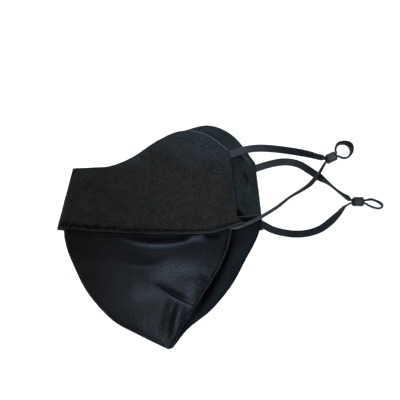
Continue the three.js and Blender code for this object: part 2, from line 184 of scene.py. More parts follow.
class Finish:
    """A procedural material: patterns feed the colour, roughness and bump of one shader."""

    def __init__(self, name, sockets):
        self.material = bpy.data.materials.new(name)
        self.material.use_nodes = True
        self.tree = self.material.node_tree
        self.shader = self.tree.nodes["Principled BSDF"]
        self.feed(self.shader, sockets)

    def feed(self, node, inputs):
        """Sets a node's inputs, each to a value or a link."""
        for name, value in inputs.items():
            if isinstance(value, bpy.types.NodeSocket):
                self.tree.links.new(value, node.inputs[name])
            else:
                node.inputs[name].default_value = value

    def node(self, kind, inputs=(), **settings):
        made = self.tree.nodes.new("ShaderNode" + kind)
        for name, value in settings.items():
            setattr(made, name, value)
        self.feed(made, dict(inputs))
        return made

    def math(self, operation, a, b=0.0):
        return self.node("Math", {0: a, 1: b}, operation=operation).outputs[0]

    def mapped(self, vector, how="Scale", by=(1, 1, 1)):
        return self.node("Mapping", {"Vector": vector, how: by}).outputs[0]

    def place(self, stretch=(1, 1, 1)):
        """Where each point is in the object's own metres, stretched."""
        return self.mapped(self.node("TexCoord").outputs["Object"], by=stretch)

    def flat_place(self):
        """Where each point is on the piece's own flat map."""
        return self.mapped(self.node("UVMap", uv_map=FLAT_MAP).outputs[0])

    def noise(self, vector, size, detail=2.0):
        inputs = {"Vector": vector, "Scale": 1 / size, "Detail": detail}
        return self.node("TexNoise", inputs).outputs["Fac"]

    def waves(self, vector, axis, pitch):
        """A sine from -1 to 1 along one axis."""
        way = self.node("SeparateXYZ", {0: vector}).outputs[axis]
        return self.math("SINE", self.math("MULTIPLY", way, math.tau / pitch))

    def drifting(self, place, blotches, reach):
        """How far towards the cheek and towards the eyes each point is, made uneven by blotches."""
        drift = self.math("MULTIPLY", blotches, reach)
        where = self.node("SeparateXYZ", {0: place}).outputs
        return [self.math("ADD", where[axis], drift) for axis in (0, 1)]

    def spread(self, value, low, high, to_low=0, to_high=1):
        inputs = {"Value": value, "From Min": low, "From Max": high, "To Min": to_low, "To Max": to_high}
        return self.node("MapRange", inputs).outputs[0]

    def blend(self, share, a, b):
        """A colour from a to b, each three values or a link."""
        a, b = ((*end, 1) if isinstance(end, tuple) else end for end in (a, b))
        return self.node("Mix", {0: share, 6: a, 7: b}, data_type="RGBA").outputs[2]

    def between(self, pattern, half_range, a, b):
        """A colour from a to b where the pattern is within a range round its middle."""
        return self.blend(self.spread(pattern, 0.5 - half_range, 0.5 + half_range), a, b)

    def mottled(self, colour, pattern, half_range, amount):
        """A colour made darker and lighter by up to an amount, over the pattern's range."""
        factor = self.spread(pattern, 0.5 - half_range, 0.5 + half_range, 1 - amount, 1 + amount)
        return self.node("VectorMath", {0: colour, "Scale": factor}, operation="SCALE").outputs[0]

    def wear_and_shading(self, full, to_low=0, to_high=1):
        """The piece's wear and painted light from 0 to its full amount: 1 for rubbing and painted highlights,
        and -1 for painted shade and darkening along stitch rows.
        """
        shaded_and_worn = self.node("Attribute", attribute_name=WEAR_AND_SHADING).outputs["Fac"]
        return self.spread(shaded_and_worn, 0, full, to_low, to_high)

    def shaded_and_worn(self, base, lighter):
        """The base colour, made lighter where the attribute is above 0, for rubbing and painted highlights,
        and darker where it is below, for painted shade and darkening along stitch rows.
        """
        return self.blend(self.wear_and_shading(1), self.blend(self.wear_and_shading(-1), base, DARKENED), lighter)

    def duller_where_darkened(self, roughness, most):
        """Roughness, and up to this much more where the colour is darkened."""
        return self.math("ADD", roughness, self.wear_and_shading(-1, 0, most))

    def surface(self, colour, roughness, *relief):
        """The material. relief is bumps of (height, depth in metres), the coarsest first."""
        normal = {}
        for height, depth in relief:
            inputs = {"Height": height, "Distance": depth, "Strength": 1.0, **normal}
            normal = {"Normal": self.node("Bump", inputs).outputs[0]}
        self.feed(self.shader, {"Base Color": colour, "Roughness": roughness, **normal})
        return self.material


def cloth_finish(name, gloss, sheen, sheen_roughness):
    sockets = {"Specular IOR Level": gloss, "Sheen Weight": sheen, "Sheen Roughness": sheen_roughness}
    return Finish(name, sockets)


def matt_cloth():
    """A close plain weave, brushed matt and rubbed along its edges, with painted light in its colour: darker
    towards the nose, lighter and cooler towards the top corner over the cheek.
    """
    THREAD = 0.00045
    finish = cloth_finish("matt_cloth", 0.05, 0.02, 0.6)
    place = finish.place()
    cheekward, eyeward = finish.drifting(place, finish.noise(place, 0.022, 3), 0.05)
    # Painted shade and light: the colour runs from darker at the nose to lighter at the cheek.
    nose, cheek = (0.0098, 0.0082, 0.0070), (0.0226, 0.0190, 0.0168)
    lit_towards_cheek = finish.blend(finish.spread(cheekward, -0.04, 0.06), nose, cheek)
    hues = finish.spread(finish.noise(place, 0.014, 1), 0.45, 0.7, 0, 0.5)
    tinted = finish.blend(hues, lit_towards_cheek, (0.0162, 0.0180, 0.0158))
    # Painted light: lighter and cooler towards the top edge and the cheek.
    corner = finish.math("ADD", eyeward, finish.math("MULTIPLY", cheekward, 0.3))
    top_light = finish.blend(finish.spread(corner, 0.082, 0.122), tinted, (0.0226, 0.0288, 0.0326))
    patched = finish.mottled(top_light, finish.noise(place, 0.006, 2), 0.2, 0.14)
    mottle = finish.noise(place, 0.0011, 4)
    grained = finish.mottled(patched, mottle, 0.18, 0.5)
    colour = finish.shaded_and_worn(grained, (0.045, 0.046, 0.05))
    roughness = finish.spread(mottle, 0, 1, 0.82, 0.98)
    slubs = finish.noise(finish.place((0.25, 1, 1)), 0.0005, 2)
    weave = finish.math("MULTIPLY", finish.waves(place, 0, THREAD), finish.waves(place, 1, THREAD))
    return finish.surface(colour, roughness, (mottle, 0.00018), (slubs, 0.00006), (weave, 0.00003))


def satin_cloth():
    """A satin weave: long floats along X give it streaks and a soft sheen."""
    finish = cloth_finish("satin_cloth", 0.11, 0.01, 0.4)
    place = finish.place()
    blotches = finish.noise(place, 0.018, 3)
    floats = finish.noise(finish.place((0.16, 1, 1)), 0.00035, 2)
    cheekward, eyeward = finish.drifting(place, blotches, 0.03)
    warm = finish.between(blotches, 0.2, (0.0042, 0.0016, 0.0013), (0.0060, 0.0029, 0.0026))
    cool = finish.between(blotches, 0.2, (0.0026, 0.0028, 0.0032), (0.0044, 0.0050, 0.0060))
    # Painted shade: the base is warmer and darker towards the nose and cooler towards the cheek.
    base = finish.blend(finish.spread(cheekward, -0.045, 0.005), warm, cool)
    streaked = finish.blend(finish.spread(floats, 0.3, 0.8, 0, 0.4), base, (0.0075, 0.0088, 0.0110))
    speckles = finish.noise(place, 0.0009, 3)
    # The lighter colour is for rubbed edges and for the chin panel's painted sheen.
    colour = finish.mottled(finish.shaded_and_worn(streaked, (0.035, 0.038, 0.045)), speckles, 0.18, 0.65)
    uneven = finish.spread(finish.noise(place, 0.0016, 2), 0.2, 0.8, 0.28, 0.40)
    nose_dull = finish.spread(cheekward, -0.040, -0.002, 0.36, 0)
    hem_dull = finish.spread(eyeward, -0.012, 0.008, 0, 0.30)
    dull = finish.duller_where_darkened(finish.math("ADD", nose_dull, hem_dull), 0.5)
    roughness = finish.math("ADD", uneven, dull)
    crumples = finish.noise(place, 0.0010, 3)
    return finish.surface(colour, roughness, (blotches, 0.0003), (crumples, 0.00038), (floats, 0.00005))


def lining_cloth(name, dark, light, gloss):
    """The smoother inside of the panels, a fine twill."""
    THREAD = 0.0004
    finish = cloth_finish(name, gloss, 0.01, 0.5)
    place = finish.place()
    patched = finish.between(finish.noise(place, 0.012, 3), 0.2, dark, light)
    mottle = finish.noise(place, 0.0016, 3)
    # The lighter colour is for rubbed edges and for painted highlights on creases; the dark end is for
    # painted shade.
    colour = finish.shaded_and_worn(finish.mottled(patched, mottle, 0.2, 0.3), (0.070, 0.078, 0.082))
    roughness = finish.duller_where_darkened(finish.spread(mottle, 0, 1, 0.6, 0.8), 0.4)
    diagonal = finish.mapped(place, "Rotation", (0, 0, math.radians(45)))
    twill = finish.waves(diagonal, 0, THREAD)
    return finish.surface(colour, roughness, (mottle, 0.00012), (twill, 0.00003))


def elastic():
    """Flat knitted elastic: fine cross ribs over the long cords that its shape carries."""
    STITCH = 0.0009
    finish = cloth_finish("elastic", 0.15, 0.04, 0.45)
    place = finish.place()
    patches = finish.noise(place, 0.025, 2)
    patched = finish.between(patches, 0.15, (0.0062, 0.0068, 0.0084), (0.0135, 0.0145, 0.0155))
    flecks = finish.noise(place, 0.0016, 2)
    # The lighter colour is for rubbed edges and for the painted highlight near the strap ends.
    colour = finish.shaded_and_worn(finish.mottled(patched, flecks, 0.2, 0.3), (0.075, 0.083, 0.086))
    roughness = finish.spread(flecks, 0, 1, 0.6, 0.8)
    rows = finish.waves(finish.flat_place(), 0, STITCH)
    return finish.surface(colour, roughness, (flecks, 0.00008), (rows, 0.00006))


def soft_plastic():
    """Moulded silicone, glossy where it is smooth, with a faint grain and dull rubbed rims."""
    finish = Finish("soft_plastic", {"Specular IOR Level": 0.35, "Coat Weight": 0.05, "Coat Roughness": 0.3})
    place = finish.place()
    cloud = finish.noise(place, 0.003, 3)
    clouded = finish.between(cloud, 0.2, (0.0105, 0.0122, 0.0120), (0.0195, 0.0220, 0.0216))
    colour = finish.shaded_and_worn(clouded, (0.04, 0.046, 0.047))
    roughness = finish.spread(cloud, 0.2, 0.8, 0.40, 0.58)
    grain = finish.noise(place, 0.0004, 2)
    return finish.surface(colour, roughness, (cloud, 0.00015), (grain, 0.00002))


def sewing_thread(name, dark, light):
    """Twisted polyester thread."""
    PLY = 0.0003
    finish = cloth_finish(name, 0.25, 0.08, 0.4)
    place = finish.place()
    colour = finish.blend(finish.noise(place, 0.0012, 2), dark, light)
    roughness = finish.spread(finish.noise(place, 0.0008, 2), 0, 1, 0.45, 0.7)
    plies = finish.waves(finish.place((1, 1, 0.5)), 0, PLY)
    return finish.surface(colour, roughness, (plies, 0.00003))


MATT = matt_cloth()
SATIN = satin_cloth()
LINING = lining_cloth("lining_cloth", (0.0140, 0.0164, 0.0168), (0.0195, 0.0242, 0.0248), 0.07)
# A darker copy of the same lining, as painted shade, for the chin panels.
SHADED_LINING = lining_cloth("shaded_lining_cloth", (0.0086, 0.0082, 0.0108), (0.0110, 0.0146, 0.0172), 0.05)
ELASTIC = elastic()
PLASTIC = soft_plastic()
DARK_THREAD = sewing_thread("dark_thread", (0.0025, 0.0024, 0.0026), (0.0075, 0.0074, 0.0080))
# A light copy of the thread for the piping: its colour is a painted highlight along the cord.
HIGHLIT_PIPING_THREAD = sewing_thread("piping_thread", (0.045, 0.052, 0.058), (0.10, 0.112, 0.122))
# A light copy of the dark thread: stitches drawn in it are painted highlights.
HIGHLIT_THREAD = sewing_thread("highlit_thread", (0.03, 0.032, 0.035), (0.07, 0.074, 0.08))

# ---- meshes ----


def swept(centre, across, up, sideways, upward):
    """A tube's points: a section, (across, up) from its middle, swept along a line of middles."""
    return centre[:, None] + across[..., None] * sideways[:, None] + up[..., None] * upward[:, None]


def quads(index):
    """A face for each cell of a grid of vertex numbers."""
    return np.stack([index[:-1, :-1], index[:-1, 1:], index[1:, 1:], index[1:, :-1]], -1).reshape(-1, 4)


def make_piece(name, points, faces, materials, flat_map=None, wear_and_shading=None, picked=None):
    """A smooth piece that rides on the mask. picked gives each face's material."""
    mesh = bpy.data.meshes.new(name)
    mesh.from_pydata(np.asarray(points).reshape(-1, 3).tolist(), [], [list(map(int, f)) for f in faces])
    for material in materials:
        mesh.materials.append(material)
    mesh.polygons.foreach_set("use_smooth", np.ones(len(mesh.polygons), bool))
    if picked is not None:
        mesh.polygons.foreach_set("material_index", np.asarray(picked, np.int32))
    if flat_map is not None:
        corners = np.empty(len(mesh.loops), np.int32)
        mesh.loops.foreach_get("vertex_index", corners)
        layer = mesh.uv_layers.new(name=FLAT_MAP)
        layer.data.foreach_set("uv", np.asarray(flat_map, np.float32).reshape(-1, 2)[corners].ravel())
    shaded_and_worn = mesh.attributes.new(WEAR_AND_SHADING, "FLOAT", "POINT")
    if wear_and_shading is not None:
        shaded_and_worn.data.foreach_set("value", np.asarray(wear_and_shading, np.float32).ravel())
    mesh.update()
    piece = bpy.data.objects.new(name, mesh)
    bpy.context.scene.collection.objects.link(piece)
    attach(piece, "root")
    return piece


def tube_faces(rings, sides, start=0, joined=False):
    """Faces of a tube whose rings of vertices follow each other: capped, or joined last to first."""
    index = start + np.arange(rings * sides).reshape(rings, sides)
    caps = [] if joined else [list(index[0]), list(index[-1, ::-1])]
    index = np.concatenate([index, index[:, :1]], 1)
    if joined:
        index = np.concatenate([index, index[:1]])
    return [list(face) for face in quads(index)[:, ::-1]] + caps


# ---- straps and adjusters ----
STRAP_WIDTH = 0.0056
STRAP_THICKNESS = 0.0016
SQUEEZED_WIDTH = 0.0033
SQUEEZED_THICKNESS = 0.0011
CORDS = 7  # long ribs across the band
CORD_DEPTH = 0.00007
STRAP_STEP = 0.0005
BAND_SIDES = 44
OFF_FLOOR = 0.00005

ADJUSTER_LENGTH = 0.009
ADJUSTER_WIDTH = 0.007
ADJUSTER_HEIGHT = 0.0057
MOUTH_SETBACK = 0.0022
STRAND_OFFSET = 0.0011
SLOT_WIDTH = 0.0039
SLOT_HEIGHT = 0.0039

# yaw turns an adjuster's axis from +X towards +Y, and tip raises the end that faces the mask.
ADJUSTER_LEFT = {"at": (0.1271, 0.0611, 0.00295), "yaw": 26, "tip": 0}
ADJUSTER_RIGHT = {"at": (0.1472, 0.0268, 0.0038), "yaw": 1, "tip": 10}

# Where each strap runs on into the cloth at its ends: x, y, z, roll and pinch, as in its runs.
SEWN_LEFT = [], [(50.5, 5.2, 6.6, 80, 1)]
SEWN_RIGHT = [(67.6, 51.9, 1.6, 0, 0)], [(73.8, 10.9, 0.7, 0, 0)]
# How much lighter each strap's ends are made, partly real rubbing and partly a painted highlight along the
# cord, and the distances from the end over which that fades.
PALE_LEFT = table("strength whole gone", [(0.62, 0.016, 0.050), (0.75, 0.010, 0.042)])
PALE_RIGHT = table("strength whole gone", [(0.30, 0.034, 0.046), (0.08, 0.005, 0.030)])

# Each strap has three runs: out to its adjuster, round the loop beyond it, and back.
# Each row is x, y and z in millimetres and the roll: 0 lays the band flat and 90 stands it on its edge.
STRAP_LEFT = {
    "out": [
        (45, 59.2, 9.3, 0),
        (51, 61.8, 9.2, 0),
        (57.5, 64.2, 8.4, 4),
        (64.5, 66.6, 6.6, 8),
        (72.5, 68.2, 4.2, 8),
        (82, 68.5, 2, 4),
        (92, 67.6, 1.1, 4),
        (102, 65.8, 2.1, 28),
        (110.5, 63.9, 2.8, 46),
        (116.6, 62.1, 3, 60),
        (121, 61, 3, 62),
    ],
    "loop": [
        (130.7, 67.8, 3, 90),
        (132.7, 71.8, 3, 86),
        (138, 72.7, 3, 74),
        (142, 70.4, 3, 54),
        (142.8, 65.8, 3, 68),
        (140.4, 61.9, 3, 78),
        (136.6, 60.9, 3, 82),
    ],
    "back": [
        (122.9, 57, 3.7, 76),
        (121.4, 54.2, 4.5, 72),
        (119.6, 50.8, 5, 70),
        (117.9, 47.7, 5.6, 66),
        (115.2, 44.3, 4.5, 54),
        (111, 40.1, 3, 52),
        (105.3, 36, 3, 60),
        (96.1, 30.3, 3.1, 68),
        (87, 22.8, 3.8, 63),
        (77, 15.6, 6.4, 59),
        (69, 10.9, 7.4, 60),
        (62.4, 7.8, 7.7, 62),
        (56.6, 5.6, 7.9, 62),
    ],
}
STRAP_RIGHT = {
    "out": [
        (72.3, 53.6, 1.9, 0),
        (78, 55.6, 1.4, 0),
        (86, 57.7, 0.95, 0),
        (94.5, 58.4, 0.95, 0),
        (103, 56.6, 0.95, 0),
        (110.8, 52, 1, 0),
        (117.2, 47.5, 1.1, 2),
        (121.3, 44.4, 2.6, 56),
        (125.5, 41.1, 3.05, 84),
        (130.9, 36.4, 3.1, 92),
        (136.4, 32, 3.6, 82),
        (140.2, 29.3, 4.2, 68),
    ],
    "loop": [
        (157.6, 28.7, 3, 96),
        (162.2, 27, 3, 94),
        (165.3, 24.8, 3, 86),
        (165.2, 22.7, 3.05, 78),
        (162.6, 21.8, 3.05, 78),
        (157.6, 23, 3.05, 80),
    ],
    "back": [
        (137.4, 22.9, 3.7, 66),
        (132.5, 17.4, 2.5, 38),
        (126.2, 11.5, 1.25, 6),
        (119, 6.3, 0.95, 0),
        (110, 3.2, 0.95, 0),
        (100.5, 2.4, 0.95, 0),
        (91, 3.6, 0.95, 0),
        (83, 5.9, 0.95, 0),
        (78.2, 8.5, 0.95, 0),
    ],
}


def adjuster_frame(adjuster):
    """An adjuster's middle, its axis from mask end to loop end, its sideways and its upward."""
    yaw, tip = math.radians(adjuster["yaw"]), math.radians(adjuster["tip"])
    axis = np.array((math.cos(yaw) * math.cos(tip), math.sin(yaw) * math.cos(tip), -math.sin(tip)))
    sideways = unit(np.array((-axis[1], axis[0], 0)))
    return np.array(adjuster["at"]), axis, sideways, np.cross(axis, sideways)


def through_adjuster(adjuster, side):
    """Route rows of one strand through an adjuster, outward bound, pinched on its edge."""
    middle, axis, sideways, _ = adjuster_frame(adjuster)
    strand = middle + sideways * side * STRAND_OFFSET
    reaches = (-0.52, -0.38, -0.2, 0, 0.22, 0.44, 0.6)  # in lengths of the adjuster
    return [(*(strand + axis * reach * ADJUSTER_LENGTH), 90, 1) for reach in reaches]


def strap_route(runs, adjuster, sewn):
    """A strap's whole route, with what is sewn into the cloth before and after it."""
    def laid(rows, pinch=()):
        return [(x * MM, y * MM, z * MM, *rest, *pinch) for x, y, z, *rest in rows]

    out, loop, back = (laid(runs[run], [0]) for run in ("out", "loop", "back"))
    there, here = through_adjuster(adjuster, 1), through_adjuster(adjuster, -1)[::-1]
    return table("x y z roll pinch", laid(sewn[0]) + out + there + loop + here + back + laid(sewn[1]))


def band_section():
    """The band's outline in halves of its width and thickness, ribbed by its cords."""
    across, through = outline(BAND_SIDES, 0.8, 0.35)
    ribs = 1 - CORD_DEPTH / (STRAP_THICKNESS / 2) * (0.5 - 0.5 * np.cos(across * math.pi * CORDS))
    return across, through * ribs


def make_strap(name, runs, adjuster, sewn, pale, seed):
    SCALLOP = 0.0012
    SAMPLES = 4000
    route = strap_route(runs, adjuster, sewn)

    def centre_at(s):
        return np.stack([along(route[k], s) for k in "xyz"], -1)

    samples = np.linspace(0, 1, SAMPLES)
    reached = travelled(centre_at(samples))
    steps = round(reached[-1] / STRAP_STEP)
    s = np.interp(np.linspace(0, reached[-1], steps + 1), reached, samples)
    centre = centre_at(s)
    distance = travelled(centre)
    tangent = unit(np.gradient(centre, axis=0))
    flat = unit(np.stack([-tangent[:, 1], tangent[:, 0], np.zeros(len(s))], -1))
    rise = np.cross(tangent, flat)
    roll = np.radians(along(route["roll"], s))[:, None]
    width_way = np.cos(roll) * flat + np.sin(roll) * rise
    thick_way = np.cos(roll) * rise - np.sin(roll) * flat
    pinch = clamp(along(route["pinch"], s))
    scallops = 0.018 * np.cos(distance * math.tau / SCALLOP)
    edge = 1 + scallops + 0.02 * noise_along(distance, 0.012, seed)
    half_width = mix(STRAP_WIDTH, SQUEEZED_WIDTH, pinch) / 2 * edge
    half_thickness = mix(STRAP_THICKNESS, SQUEEZED_THICKNESS, pinch) / 2
    across, through = band_section()
    width, thickness = half_width[:, None] * across, half_thickness[:, None] * through
    points = swept(centre, width, thickness, width_way, thick_way)
    points[..., 2] = np.maximum(points[..., 2], OFF_FLOOR)
    flat_map = np.stack(np.broadcast_arrays(distance[:, None], across * STRAP_WIDTH / 2), -1)
    lighter = 0.03 + 0.05 * noise(distance[:, None], across, 0.004, seed + 1)
    wear_and_shading = smooth((np.abs(across) - 0.8) / 0.2) * lighter
    patchy = 0.85 + 0.3 * noise_along(distance, 0.004, seed + 2)
    # Each end made lighter, fading away from it: some real rubbing and a painted highlight along the cord.
    for k, to_end in enumerate((distance, distance[-1] - distance)):
        fade = smooth((pale["gone"][k] - to_end) / (pale["gone"][k] - pale["whole"][k]))
        wear_and_shading = wear_and_shading + (pale["strength"][k] * fade * patchy)[:, None]
    faces = tube_faces(len(s), BAND_SIDES)
    return make_piece(name, points, faces, [ELASTIC], flat_map, wear_and_shading), centre


def make_adjuster(name, adjuster, seed):
    """A moulded barrel with soft rims, a waist line round its middle and a slot through it. Its
    mask end is cut at a slant, back towards its top."""
    SIDES = 64
    ROUNDING = 0.0010
    SLOT_ROUNDING = 0.00045
    WAIST = 0.00012
    WAIST_REACH = 0.0004
    RUBBED_RIM = 0.0006
    middle, axis, sideways, upward = adjuster_frame(adjuster)
    half = ADJUSTER_LENGTH / 2

    def quarter_round(radius, bends):
        return [(half - radius + radius * math.sin(b), radius * (1 - math.cos(b))) for b in bends]

    # Half of the barrel's lengthways profile: how far from its middle, and how far inside its skin.
    bends = np.linspace(0, math.pi / 2, 8)
    body = [(reach, WAIST * peak(reach, WAIST_REACH)) for reach in np.linspace(0, half - ROUNDING, 16)[:-1]]
    outside = [(*pair, 1) for pair in body + quarter_round(ROUNDING, bends)]
    rim = [(reach, -inset) for reach, inset in quarter_round(SLOT_ROUNDING, bends[::-1])]
    bore = [(reach, 0) for reach in np.linspace(half - SLOT_ROUNDING, 0, 8)[1:]]
    inside = [(*pair, 0) for pair in rim + bore]
    back = [(-reach, inset, outer) for reach, inset, outer in inside[-2::-1] + outside[:0:-1]]
    profile = np.array(outside + inside + back)
    rings = []
    for reach, inset, outer in profile:
        width, height = (ADJUSTER_WIDTH, ADJUSTER_HEIGHT) if outer else (SLOT_WIDTH, SLOT_HEIGHT)
        power = 2 / 3.0 if outer else 2 / 3.6
        across, up = outline(SIDES, power, power)
        across, up = across * (width / 2 - inset), up * (height / 2 - inset)
        slant = MOUTH_SETBACK / ADJUSTER_HEIGHT * (up + ADJUSTER_HEIGHT / 2)
        lengthways = (reach + slant * smooth(-reach / half))[:, None] * axis
        rings.append(middle + lengthways + across[:, None] * sideways + up[:, None] * upward)
    points = np.array(rings)
    lighter = 0.25 + 0.25 * noise(points[..., 0], points[..., 1], 0.0012, seed)
    wear_and_shading = (np.abs(profile[:, :1]) > half - RUBBED_RIM) * lighter
    # Painted shade: the inside of the slot is darkened to the darkest colour.
    wear_and_shading = np.where(profile[:, 2:] > 0, wear_and_shading, -1.0)
    faces = tube_faces(len(points), SIDES, joined=True)
    return make_piece(name, points, faces, [PLASTIC], wear_and_shading=wear_and_shading)


def strap_and_adjuster(side, runs, adjuster, sewn, pale, seed):
    strap, centre = make_strap(f"elastic_{side}", runs, adjuster, sewn, pale, seed)
    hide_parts(f"ear_strap_{side}")
    barrel = make_adjuster(f"barrel_{side}", adjuster, seed + 2)
    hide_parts(f"strap_adjuster_{side}")
    travelled(centre)[-1]


strap_and_adjuster("left", STRAP_LEFT, ADJUSTER_LEFT, SEWN_LEFT, PALE_LEFT, 11)
strap_and_adjuster("right", STRAP_RIGHT, ADJUSTER_RIGHT, SEWN_RIGHT, PALE_RIGHT, 21)

# ---- the panels' middles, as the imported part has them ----
WALL = 0.0012
CLEARANCE = 0.0003
LAYER = WALL + CLEARANCE + 0.00005
FLOOR_LAYER = WALL / 2
ARCH_POWER = 2.6

# Ribs run from a panel's low edge to its high edge, and courses from the centre seam to the jaw.
# Both, and the folds below, are laid in millimetres.
UPPER_LEFT_RIBS = table("low_x low_y low_z high_x high_y high_z crown bow", [
    (-77.8, 5.4, 2.4, -65.8, 53, 2.3, 0, 0),
    (-75.2, 5.1, 6.2, -63.8, 53, 3, 0.6, 0),
    (-69.4, 4.3, 7.6, -59.6, 53, 3.4, 2.4, 0),
    (-58, 2.9, 9.2, -50.8, 53.2, 4, 4.2, 0),
    (-42, 1.5, 10.8, -37.2, 54.2, 5.2, 5.6, 0),
    (-23, 0, 11.9, -21.2, 60.6, 7, 6.2, 0),
    (-2.5, -0.8, 12.2, -3.2, 72.5, 8.8, 6.4, 0),
    (18, -0.6, 12, 14.5, 79.9, 10, 5.8, 0),
    (38, 0.4, 11.2, 33, 77, 11, 4.4, -0.6),
    (57.8, 6.6, 9, 51.4, 63.6, 11.6, 1.6, -0.5),
], MM)
UPPER_RIGHT_RIBS = table("low_x low_y high_x high_y bow", [
    (-77.8, 5.6, -65.8, 52.8, 0),
    (-58, 3.4, -52, 52.4, 0),
    (-38, 1.6, -36, 53.6, 0),
    (-18, 0.6, -17, 62.4, 0),
    (3, 0.4, 2, 76.5, 0),
    (23, 0.6, 19.5, 83.4, 0),
    (42, 1.6, 37, 86.4, 0.4),
    (60, 3.2, 54.4, 78, 0.6),
    (76.4, 5.6, 70.4, 57.4, 0.2),
], MM)
LOWER_LEFT_COURSES = table("seam_x seam_y seam_z jaw_x jaw_y jaw_z crown sag", [
    (5.8, -86.6, 2.4, 8.6, -85.8, 2.6, 0, 0),
    (-14, -76.6, 2.4, 15.4, -71.6, 4.6, 2.2, 1.5),
    (-36.2, -63.8, 2.4, 26.4, -53.6, 6.6, 4.2, 3),
    (-54.4, -43, 2.4, 37.2, -36.8, 7.6, 5.2, 3),
    (-64.8, -22.6, 2.4, 46, -20.6, 7.6, 4.8, 3),
    (-71.2, -5, 2.4, 51.4, -4.4, 6, 3.4, 3.4),
    (-73, 12, 2.4, 54, 12.6, 4.6, 2.6, 3.2),
], MM)
LOWER_RIGHT_COURSES = table("seam_x seam_y jaw_x jaw_y sag", [
    (5.8, -86.6, 8.8, -85.6, 0),
    (-14, -76.6, 20.2, -71, 1.5),
    (-36.2, -63.8, 37.6, -56.4, 3),
    (-54.4, -43, 52.8, -37.4, 3),
    (-64.8, -22.6, 63.4, -17.4, 3),
    (-71.2, -5, 72.6, 1, 1.5),
    (-73.2, 12.4, 75.6, 17.2, 2),
], MM)
ROUNDED_FROM = 0.6  # how far up the left chin panel its flat-topped crown becomes a round one
TUCK_END_Y = -0.0015
SHORT_TUCK = 0.008
LONG_TUCK = 0.035
CHEEK_FLARE = 0.0038
CHEEK_FLARE_RISE = 0.13
EDGE_LIFT = 0.0014
EDGE_LIFT_SHARE = 0.16

# Soft folds, each along an arc from a point, bending towards a second, to a third. height is of
# the ridge, or of a groove where it is negative. left and right are how far its two sides reach,
# seen going along the arc.
FOLD_COLUMNS = "x0 y0 x1 y1 x2 y2 height left right"
CHIN_FOLDS = table(FOLD_COLUMNS, [
    (-52, 1, 0, -23.5, 34, 8, 2.8, 4.2, 8),
    (-52, -6, -12, -30, 22, -8, 1.6, 6, 5),
    (-50, -8, -18, -39, 12, -16, -1.2, 4, 5.6),
    (-8, -26, 13, -38, 40, -42, 1, 7, 6),
    (-12, -32, 8, -47, 34, -57, -1.4, 2.2, 3),
    (13, -44, 4, -62, 3, -88, -2, 4, 5),
    (18, -48, 12, -64, 9.5, -84, 1.2, 2.6, 3.4),
    (-44, -50, -16, -62, 12, -60, -1.2, 14, 12),
], MM)


def arch(t):
    return 1 - np.abs(2 * t - 1) ** ARCH_POWER


def lifted(t):
    """From 0 to 1 over the last share of the way, where an edge is lifted."""
    return smooth((t - 1 + EDGE_LIFT_SHARE) / EDGE_LIFT_SHARE)


def fold_height(folds, x, y):
    """Height that a table of folds adds at (x, y)."""
    PARTS = 24
    FOLD_END = 0.38  # the share of an arc over which a fold dies away
    total = 0
    t = np.linspace(0, 1, PARTS + 1)[:, None, None]
    for x0, y0, x1, y1, x2, y2, height, left, right in zip(*folds.values()):
        px = (1 - t) ** 2 * x0 + 2 * t * (1 - t) * x1 + t**2 * x2
        py = (1 - t) ** 2 * y0 + 2 * t * (1 - t) * y1 + t**2 * y2
        dx, dy = np.diff(px, axis=0), np.diff(py, axis=0)
        share = clamp(((x - px[:-1]) * dx + (y - py[:-1]) * dy) / (dx * dx + dy * dy))
        off_x, off_y = x - px[:-1] - share * dx, y - py[:-1] - share * dy
        apart = np.hypot(off_x, off_y)
        part = np.argmin(apart, axis=0)[None]
        found = (np.take_along_axis(v, part, 0)[0] for v in (apart, share, dx * off_y - dy * off_x))
        nearest, share, side = found
        place = (part[0] + share) / PARTS
        fade = smooth(place / FOLD_END) * smooth((1 - place) / FOLD_END)
        total = total + height * fade * peak(nearest, np.where(side > 0, left, right))
    return total


def rib_point(rib, up):
    x = mix(rib["low_x"], rib["high_x"], up) + rib["bow"] * bow(up)
    return x, mix(rib["low_y"], rib["high_y"], up)


def upper_left(across, up):
    rib = curves(UPPER_LEFT_RIBS, across)
    x, y = rib_point(rib, up)
    flare = CHEEK_FLARE * smooth(1 - up / CHEEK_FLARE_RISE) * smooth((across - 0.86) / 0.14)
    z = mix(rib["low_z"], rib["high_z"], up) + rib["crown"] * arch(up)
    return np.stack([x + flare, y + flare * 0.5, z], -1)


def upper_right(across, up):
    x, y = rib_point(curves(UPPER_RIGHT_RIBS, across), up)
    cheek = lifted(across) * smooth((up - 0.3) / 0.3)
    top = lifted(up) * smooth((across - 0.5) / 0.2)
    return np.stack([x, y, FLOOR_LAYER + EDGE_LIFT * np.maximum(cheek, top)], -1)


def course_point(course, across):
    x = mix(course["seam_x"], course["jaw_x"], across)
    return x, mix(course["seam_y"], course["jaw_y"], across) - course["sag"] * bow(across)


def tuck(y, reach):
    """How far the tucked end of a chin panel rises over the cloth beneath it."""
    return LAYER * smooth((y - TUCK_END_Y) / reach + 1)


def lower_left(across, up):
    course = curves(LOWER_LEFT_COURSES, up)
    x, y = course_point(course, across)
    level = mix(course["seam_z"], course["jaw_z"], across)
    crown = course["crown"] * mix(arch(across), bow(across), smooth(up / ROUNDED_FROM))
    return np.stack([x, y, level + crown + fold_height(CHIN_FOLDS, x, y) + tuck(y, LONG_TUCK)], -1)


def lower_right(across, up):
    x, y = course_point(curves(LOWER_RIGHT_COURSES, up), across)
    jaw = lifted(across) * smooth(up / 0.25) * (1 - smooth((up - 0.75) / 0.2))
    return np.stack([x, y, FLOOR_LAYER + EDGE_LIFT * 0.6 * jaw + tuck(y, SHORT_TUCK)], -1)


